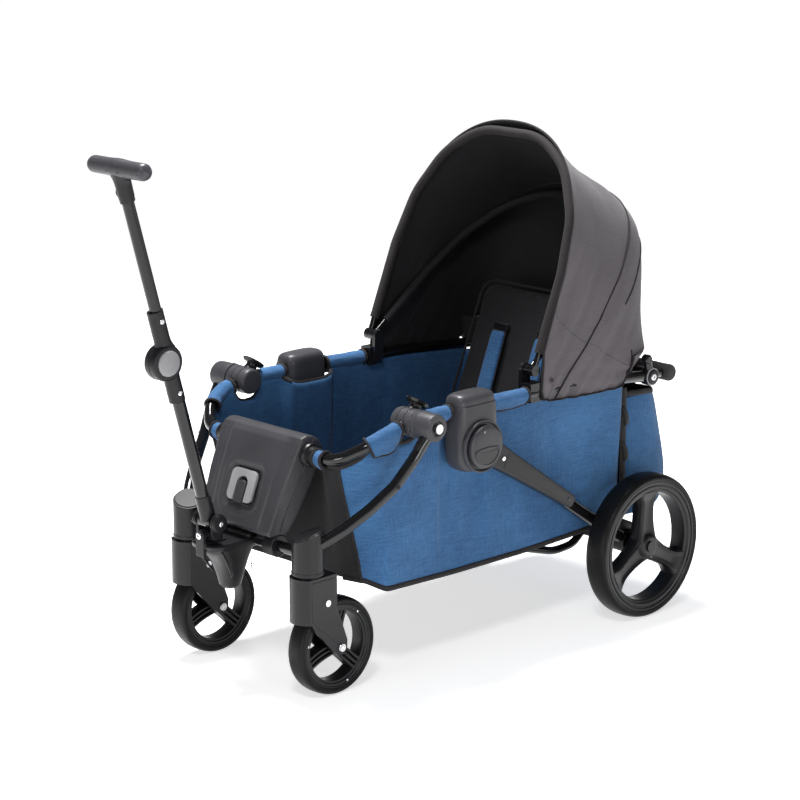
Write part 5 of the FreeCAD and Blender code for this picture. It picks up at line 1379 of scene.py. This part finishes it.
def back_point(x, depth, rise):
    """A point of the seat back: across, behind its front face, up along it, in mm."""
    return pt(0, 565, 212) + BACK_TURN @ Vector((x * MM, depth * MM, rise * MM))


def seat_outline(low, high, height, corner, inset=0.0):
    """A trapezoid with rounded upper corners: half widths at its foot and its top."""
    points = []
    for sign, start in ((1, 0), (-1, 90)):
        for k in range(9):
            turn = math.radians(start + 90 * k / 8)
            points.append((sign * (high - corner) + (corner - inset) * math.cos(turn),
                           height - corner + (corner - inset) * math.sin(turn)))
    return points + [(-low + inset, inset), (low - inset, inset)]


def seat():
    """The padded back with its piping, panel seam and strap slots, and the cushion in front of it."""
    verts = []
    layers = ((3, 5.0), (9, 0.0), (25, 0.0), (31, 5.0))
    for depth, inset in layers:
        for x, z in seat_outline(BACK_LOW, BACK_HIGH, 436, 34, inset):
            verts.append(back_point(x, depth, z + 3))
    count = len(verts) // len(layers)
    back = swollen("seat_back_pad", verts, tube_faces(len(layers), count), "black", "frame", 3.0, 5.0, 5.0)
    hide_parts("seat_back")
    pipe = [back_point(x, 4, z + 3) for x, z in seat_outline(BACK_LOW + 2.5, BACK_HIGH + 2.5, 439, 35)]
    loop = pipe[-1:] + pipe[:-1]
    sweep("seat_piping", loop, (2.6, 2.6), "binding", "frame", 10)
    panel = [back_point(x, 1.4, z + 8) for x, z in seat_outline(BACK_LOW - 22, BACK_HIGH - 20, 412, 24)]
    sweep("seat_panel_seam", panel[-1:] + panel[:-1], (1.2, 1.2), "stitch", "frame", 8)
    for side, word in SIDES:
        for height in (300, 360):
            slot = [back_point((59 + dx) * side, 0.2, height) for dx in (-22, -10, 0, 10, 22)]
            sweep("strap_slot_%s_%d" % (word, height), slot, lambda t: (1.6, 3.4), "web", "frame", 12)
    verts = []
    low = [(-160, 334), (160, 334), (160, 556), (-160, 556)]
    for z, inset in ((197, 6), (205, 0), (262, 0), (276, 5)):
        for x, run in low:
            verts.append(pt(x - math.copysign(inset, x), run + (inset if run < 400 else -inset), z))
    cushion = swollen("seat_cushion_pad", verts, tube_faces(4, 4), "black", "frame", 4.0, 9.0, 6.0)
    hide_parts("seat_cushion")
    loop = rounded([pt(0, 331, 268), pt(163, 331, 268), pt(163, 556, 268), pt(-163, 556, 268), pt(-163, 331, 268),
                    pt(0, 331, 268)], 0.02)
    sweep("cushion_piping", loop, (2.4, 2.4), "binding", "frame", 10, caps=False)


def strap_along(name, points, half, thick, material):
    """A flat strap along points, its width across the wagon."""
    verts = []
    path = smooth_path(points, 6)
    section = [(-half, -thick), (-half * 0.94, thick), (half * 0.94, thick), (half, -thick)]
    for i, p in enumerate(path):
        tangent = (path[min(i + 1, len(path) - 1)] - path[max(i - 1, 0)]).normalized()
        normal = Vector((1, 0, 0)).cross(tangent).normalized()
        for a, b in section:
            verts.append(p + Vector((a * MM, 0, 0)) - normal * (b * MM))
    return piece(name, verts, tube_faces(len(path), 4), material, "frame", True, 40)


def shoulder_pad(name, x, low, high):
    """A soft blue pad on a strap."""
    verts = []
    rows, steps = 26, 20
    for i in range(rows + 1):
        t = i / rows
        end = (1 - abs(2 * t - 1) ** 8) ** 0.5
        for k in range(steps):
            turn = 2 * math.pi * k / steps
            a = math.copysign(abs(math.cos(turn)) ** 0.45, math.cos(turn)) * (19.5 - 2.0 * t)
            b = math.copysign(abs(math.sin(turn)) ** 0.8, math.sin(turn)) * (5.2 * end + 0.6)
            verts.append(back_point(x + a * (0.9 + 0.1 * end), -12.5 + b, low + (high - low) * t))
    obj = piece(name, verts, tube_faces(rows + 1, steps), "blue", "frame", True, 60)
    edge = [back_point(x + s * 19.6, -12.5, low + (high - low) * t) for s, t in
            [(1, k / 10) for k in range(11)] + [(-1, 1 - k / 10) for k in range(11)]]
    sweep(name + "_edge", rounded(edge + [edge[0]], 0.012, 3), (1.5, 1.5), "binding", "frame", 8, caps=False)
    return obj


def harness():
    """Both shoulder straps with their pads, sliders and keepers."""
    straps = []
    for side, word in SIDES:
        x = 59 * side
        line = [back_point(x, 3, 361), back_point(x, -4, 356), back_point(x, -7, 330), back_point(x, -7, 200),
                back_point(x * 0.95, -8, 130), back_point(x * 0.7, -30, 90)]
        straps.append(strap_along("strap_" + word, line, 16.0, 1.0, "web"))
        shoulder_pad("shoulder_pad_" + word, x, 205, 342)
        slide = [back_point(x + dx, -8.5, 172 + dz) for dx, dz in ((-21, -10), (21, -10), (21, 10), (-21, 10))]
        prism("strap_slider_" + word, slide, 0, 3.5, BACK_TURN @ Vector((0, -1, 0)), "gloss", "frame", 1.4, 3)
        slide = [back_point(x + dx, -6.0, 350 + dz) for dx, dz in ((-20, -6), (20, -6), (20, 6), (-20, 6))]
        prism("strap_keeper_" + word, slide, 0, 3.0, BACK_TURN @ Vector((0, -1, 0)), "gloss", "frame", 1.2, 3)
    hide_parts("harness")
    return straps


def pocket():
    """A soft pocket behind the basket: deeper at the bottom, gathered by elastic at its top."""
    verts = []
    columns = 44
    outside = [(857, 428), (862, 405), (874, 350), (887, 300), (893, 262), (888, 222), (874, 198), (845, 188),
               (752, 188)]
    line = smooth_path([Vector((a, b, 0)) for a, b in outside], 5)
    count = len(line)
    for c in range(columns + 1):
        s = -1 + 2 * c / columns
        x = 202 * s
        edge = (1 - abs(s) ** 9) ** 0.5
        for i, p in enumerate(line):
            share = i / (count - 1)
            deep = (p.x - 752)
            bulge = 0.93 + 0.07 * edge
            pucker = 2.4 * math.sin(s * 62) * math.exp(-(share / 0.10) ** 2)
            wave = 0
            if share < 0.83:
                swing = math.sin(math.pi * min(1, share * 1.2))
                wave = noise.noise(Vector((s * 3.1, share * 3.0, 5.5))) * 4.0 * swing
            run = 752 + deep * bulge + (pucker + wave) * (1 if deep > 20 else 0)
            drop = 6.0 * (1 - s * s) * math.exp(-(share / 0.2) ** 2)
            verts.append(pt(x * (0.97 + 0.03 * math.sin(math.pi * share)), min(run, 895), p.y - drop))
    faces = grid_faces(columns, count - 1)
    for column in (0, columns):
        rows = []
        for i in range(count):
            p = verts[column * count + i]
            strip = [column * count + i]
            for k in range(1, 6):
                t = k / 5
                puff = 5.0 * math.sin(math.pi * t) * (1 if i < count - 3 else 0)
                verts.append(Vector((p.x + math.copysign(puff * MM, p.x), p.y + (at(752) - p.y) * t, p.z)))
                strip.append(len(verts) - 1)
            rows.append(strip)
        for a, b in zip(rows, rows[1:]):
            for k in range(5):
                faces.append((a[k], a[k + 1], b[k + 1], b[k]))
    obj = piece("pocket_cloth", verts, faces, ["blue", "black"], "frame", True, 60)
    thicken(obj, 1.6, 0)
    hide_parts("rear_pocket")
    top = [verts[c * count].copy() for c in range(columns + 1)]
    trims = [sweep("pocket_elastic", top, (7.0, 3.2), "binding", "frame", 14)]
    for side, word in SIDES:
        strip = [pt(209 * side, 748.5, z) for z in (452, 430, 380, 320, 260, 200)]
        trims.append(sweep("pocket_strip_" + word, smooth_path(strip, 4), (3.0, 8.0), "binding", "frame", 12))
        for z in (402, 330):
            loop = [pt(211 * side, 742, z + 14), pt(216 * side, 744, z + 8), pt(219 * side, 748, z - 6),
                    pt(217 * side, 752, z - 20), pt(212 * side, 754, z - 26)]
            trims.append(sweep("pocket_loop_%s_%d" % (word, z), smooth_path(loop, 5), (1.4, 5.0), "web", "frame", 10))
        edge = verts[(columns if side > 0 else 0) * count].copy()
        line = smooth_path([edge, pt(204 * side, 800, 434), pt(204 * side, 752, 438)], 6)
        trims.append(sweep("pocket_side_elastic_" + word, line, (3.0, 6.0), "binding", "frame", 12))
    return obj, trims


# ---------------------------------------------------------------- canopy

def lerp_table(table, t):
    """The values of a table at t, on a smooth curve through its rows."""
    index = 0
    while index < len(table) - 2 and t > table[index + 1][0]:
        index += 1
    first, second = table[index], table[index + 1]
    before, after = table[max(index - 1, 0)], table[min(index + 2, len(table) - 1)]
    span = second[0] - first[0]
    s = (t - first[0]) / span
    values = []
    for a, b, c, d in zip(before[1:], first[1:], second[1:], after[1:]):
        slope_in = (c - a) / (second[0] - before[0]) * span
        slope_out = (d - b) / (after[0] - first[0]) * span
        values.append(b * (1 + 2 * s) * (1 - s) ** 2 + slope_in * s * (1 - s) ** 2
                      + c * s * s * (3 - 2 * s) + slope_out * s * s * (s - 1))
    return values


CANOPY_ROWS = [
    # share, hem run, hem height, top run, top height, corner power across, corner power up, half width
    (0.00, 449, 478, 650, 967, 2.2, 4.0, 233.0),
    (0.04, 452, 477, 660, 959, 2.2, 3.9, 235.0),
    (0.12, 460, 477, 684, 938, 2.2, 3.7, 236.5),
    (0.30, 483, 475, 746, 891, 2.3, 3.5, 237.5),
    (0.50, 510, 472, 828, 837, 2.6, 3.3, 237.5),
    (0.62, 540, 470, 872, 795, 2.8, 3.3, 237.5),
    (0.70, 586, 467, 881, 757, 2.9, 3.1, 237.5),
    (0.78, 646, 466, 876, 712, 2.8, 2.8, 237.5),
    (0.86, 700, 466, 861, 660, 2.6, 2.6, 237.5),
    (0.92, 728, 478, 855, 612, 2.5, 2.5, 237.5),
    (0.96, 737, 498, 852, 572, 2.5, 2.5, 237.5),
    (1.00, 742, 520, 850, 536, 2.5, 2.5, 237.5),
]


HOOD_MIDDLE = Vector((0, at(640), 0.62))
HOOD_SPLIT = 0.55


def hood_point(inset, share, turn):
    """A point of the hood, share from front to back and turn from hem to hem, and its height as a share of the rise."""
    hem_run, hem_z, top_run, top_z, across, upward, half = lerp_table(CANOPY_ROWS, share)
    low = Vector((0, hem_run, hem_z))
    up = Vector((0, top_run, top_z)) - low
    rise = up.length - inset
    up.normalize()
    c, s = math.cos(turn), math.sin(turn)
    x = (half - inset) * squared(c, across)
    lift = rise * abs(s) ** (2 / upward)
    height = lift / rise
    place = low + up * lift
    foot = (1 - smooth_step(0.0, 0.22, height)) * (1 - smooth_step(0.1, 0.5, share))
    place.y += 34 * foot
    place.z += 14 * foot * (1 - smooth_step(0.0, 0.06, share))
    point = pt(x, place.y, place.z)
    free = smooth_step(0.0, 0.08, share) * (1 - smooth_step(0.93, 1.0, share))
    sag = 3.5 * math.sin(math.pi * min(1.0,
                                       share / 0.6)) if share < 0.6 else 2.0 * math.sin(math.pi * (share - 0.6) / 0.4)
    ripple = noise.noise(Vector((x * 0.011, place.y * 0.013, place.z * 0.011))) * 2.6
    ripple += noise.noise(Vector((x * 0.03 + 5.0, place.y * 0.03, place.z * 0.02))) * 0.9
    inward = (HOOD_MIDDLE - point).normalized()
    point += inward * ((sag * min(1.0, height * 1.6) + max(-0.8, ripple) + 0.8) * free * MM)
    if 0.08 < height < 0.75 and abs(x) > 120:
        wrinkle = noise.noise(Vector(((place.y - 0.9 * place.z) * 0.022, (place.y + place.z) * 0.006,
                                      x * 0.01 + 9.0)))
        point.x -= math.copysign(7.0 * max(0.0, wrinkle) * smooth_step(0.08, 0.2,
                                                                       height) * (1 - smooth_step(0.4, 0.75, height))
                                 * free * MM, x)
    if height < 0.30 and abs(x) > 120:
        fold = 0.5 + 0.5 * math.sin(place.y * 0.13 + 2.4 * math.sin(place.y * 0.021) + height * 7)
        fold += 0.8 * noise.noise(Vector((place.y * 0.02 + place.z * 0.03, place.z * 0.008 - place.y * 0.006, x)))
        crease = math.exp(-((height - 0.17 + 0.05 * share) / 0.022) ** 2)
        point.x -= math.copysign(5.0 * crease * smooth_step(0.08, 0.3, share) * free * MM, x)
        gather = fold * 6.5 * (1 - height / 0.30) ** 1.1 * smooth_step(0.02, 0.25,
                                                                       share) * (1 - smooth_step(0.9, 1.0, share))
        point.x -= math.copysign(gather * MM, x)
    return point, height


def canopy_cloth(name, material, inset, start, stop):
    """One panel of the hood, from one share to another; the last panel closes the hood's rear underside."""
    verts = []
    rows, steps = int(80 * (stop - start)) + 1, 88
    for r in range(rows + 1):
        share = start + (stop - start) * r / rows
        verts += [hood_point(inset, share, math.pi * k / steps)[0] for k in range(steps + 1)]
    width = steps + 1
    faces = grid_faces(rows, steps)
    if stop == 1.0:
        faces.append(tuple(rows * width + k for k in range(width)))
    obj = piece(name, verts, faces, material, "frame", True, 70)
    thicken(obj, 0.8)
    return obj


def bow_path(x, tilt, start):
    """The line of a canopy bow, from a little above its left pivot to its right one."""
    lean = math.radians(tilt)
    half = [(x, start), (x, 190), (x * 0.93, 298), (x * 0.72, 389), (x * 0.36, 445)]
    corners = half + [(-a, b) for a, b in half[::-1]]
    return rounded([pt(a, BOW_RUN + b * math.sin(lean), BOW_Z + b * math.cos(lean)) for a, b in corners], 0.14)


def off_hood(share, turn, lift):
    """A point a little outside the hood's cloth, or inside it for a negative lift."""
    point = hood_point(0.0, share, turn)[0]
    away = (point - HOOD_MIDDLE).normalized()
    return point + away * (lift * MM)


def hood_trims(word, start, stop):
    """The hem on both sides of a panel, with its line of stitches."""
    trims = []
    for side, name in ((1, word + "_left"), (-1, word + "_right")):
        end = 0.0 if side > 0 else math.pi
        near = 0.12 if side > 0 else math.pi - 0.12
        count = int(80 * (stop - start))
        shares = [start + (stop - start) * k / count for k in range(count + 1)]
        trims.append(sweep("hood_hem_" + name, [off_hood(share, end, 0.3) for share in shares], (3.6, 1.6),
                           "binding", "frame", 12))
        inside = [min(0.97, max(0.03, share)) for share in shares]
        trims.append(sweep("hood_hem_stitch_" + name, [off_hood(share, near, 0.3) for share in inside[1:-1]],
                           (0.5, 0.5), "stitch", "frame", 6))
    return trims


def rear_flap():
    """The dark flap that hangs inside, behind the seat."""
    verts = []
    for i in range(7):
        half = 234 - 28 * smooth_step(4.2, 4.9, i)
        for k in range(31):
            x = half * (-1 + 2 * k / 30)
            bow = 7.0 * (1 - (x / half) ** 2) + 1.5 * math.sin(x * 0.09)
            verts.append(pt(x, 741 + bow + 2.0 * i / 6, 533 - 11.5 * i))
    flap = piece("hood_rear_flap", verts, grid_faces(6, 30), "lining", "frame", True, 70)
    thicken(flap, 0.8, 0)
    return flap


def canopy():
    """Two outer panels sewn together at the middle bow, two lining panels and their trims."""
    outer = [canopy_cloth("hood_front", "canopy", 0.0, 0.0, HOOD_SPLIT),
             canopy_cloth("hood_rear", "canopy", 0.0, HOOD_SPLIT, 1.0)]
    lining = [canopy_cloth("lining_front", "lining", 2.6, 0.004, HOOD_SPLIT),
              canopy_cloth("lining_rear", "lining", 2.6, HOOD_SPLIT, 1.0)]
    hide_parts("canopy_fabric")
    turns = [math.pi * k / 88 for k in range(89)]
    sweep("front_bow_channel", bow_path(224, FRONT_BOW_TILT, 34), (8.8, 8.8), "binding",
          NODES["canopy_front_bow"]["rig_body"], 20)
    sweep("mid_bow_tape", bow_path(212, MIDDLE_BOW_TILT, 40), (7.2, 7.2), "lining",
          NODES["canopy_mid_bow"]["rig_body"], 20)
    front = hood_trims("front", 0.0, HOOD_SPLIT)
    front.append(sweep("hood_edge", [off_hood(0.0, turn, 0.2) for turn in turns], (2.6, 2.6), "binding", "frame", 12))
    front.append(sweep("hood_front_stitch", [off_hood(0.016, turn, 0.3) for turn in turns[4:-4]], (0.5, 0.5),
                       "stitch", "frame", 6))
    band = sweep("hood_band_stitch", [off_hood(0.055, turn, -3.6) for turn in turns[4:-4]], (0.6, 0.6), "stitch",
                 "frame", 6)
    front.append(band)
    rear = hood_trims("rear", HOOD_SPLIT, 1.0)
    rear.append(sweep("hood_seam", [off_hood(HOOD_SPLIT, turn, 0.5) for turn in turns], (1.8, 1.6), "binding",
                      "frame", 10))
    low = [off_hood(0.66 + 0.03 * math.sin(turn), turn, 0.4) for turn in turns[10:-10]]
    rear.append(sweep("hood_back_seam", low, (1.6, 1.4), "binding", "frame", 10))
    for side, word in SIDES:
        bolt_head("hood_snap_" + word, pt(237.6 * side, 508, 512), (side, 0, 0), 5.0, 1.6, "frame", "gloss", 0.3)
    return outer, lining, rear_flap(), front, rear


def declare_soft(hood, basket_cloth, pocket_cloth):
    """Takes the hood's panels and trims off their bodies with their places baked in, makes the floor board's rounded
    copy, and gives the soft pieces meshes of their own.
    """
    outer, lining, flap, front, rear = hood

    def give(pieces):
        """Take pieces off their bodies, keeping where they stand and baking that into their meshes."""
        for obj in pieces:
            world = obj.matrix_world.copy()
            obj.parent = None
            obj.matrix_world = world
            if "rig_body" in obj:
                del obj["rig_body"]
            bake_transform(obj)
    give([outer[0], lining[0]] + front)
    give([outer[1], lining[1]] + rear)
    soft = [basket_cloth[0], pocket_cloth[0]] + basket_cloth[1] + pocket_cloth[1]
    soft.append(from_cad("floor_board", "black", 2.0))
    seats = ("seat_back_pad", "seat_cushion_pad", "seat_piping", "seat_panel_seam", "cushion_piping", "strap_",
             "shoulder_pad_")
    soft += [obj for obj in bpy.data.objects if obj.name.startswith(seats)]
    for obj in soft:
        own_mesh(obj)


def build():
    make_camera()
    make_materials()
    make_studio()
    keep_cad()
    for side, word in SIDES:
        front_wheel(side, word)
        rear_wheel(side, word)
        caster(side, word)
        housing(side, word)
        knob(side, word)
        rear_arm(side, word)
        rear_axle_drum(side, word)
        leg_hinge(side, word)
    box_front()
    box_button()
    handle_foot()
    mid_joint()
    grip()
    push_handle()
    basket_cloth = basket()
    sleeves()
    seat()
    harness()
    pocket_cloth = pocket()
    hood = canopy()
    declare_soft(hood, basket_cloth, pocket_cloth)
    NODES["rear_arms"].hide_render = True
    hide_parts("rear_arms")


build()
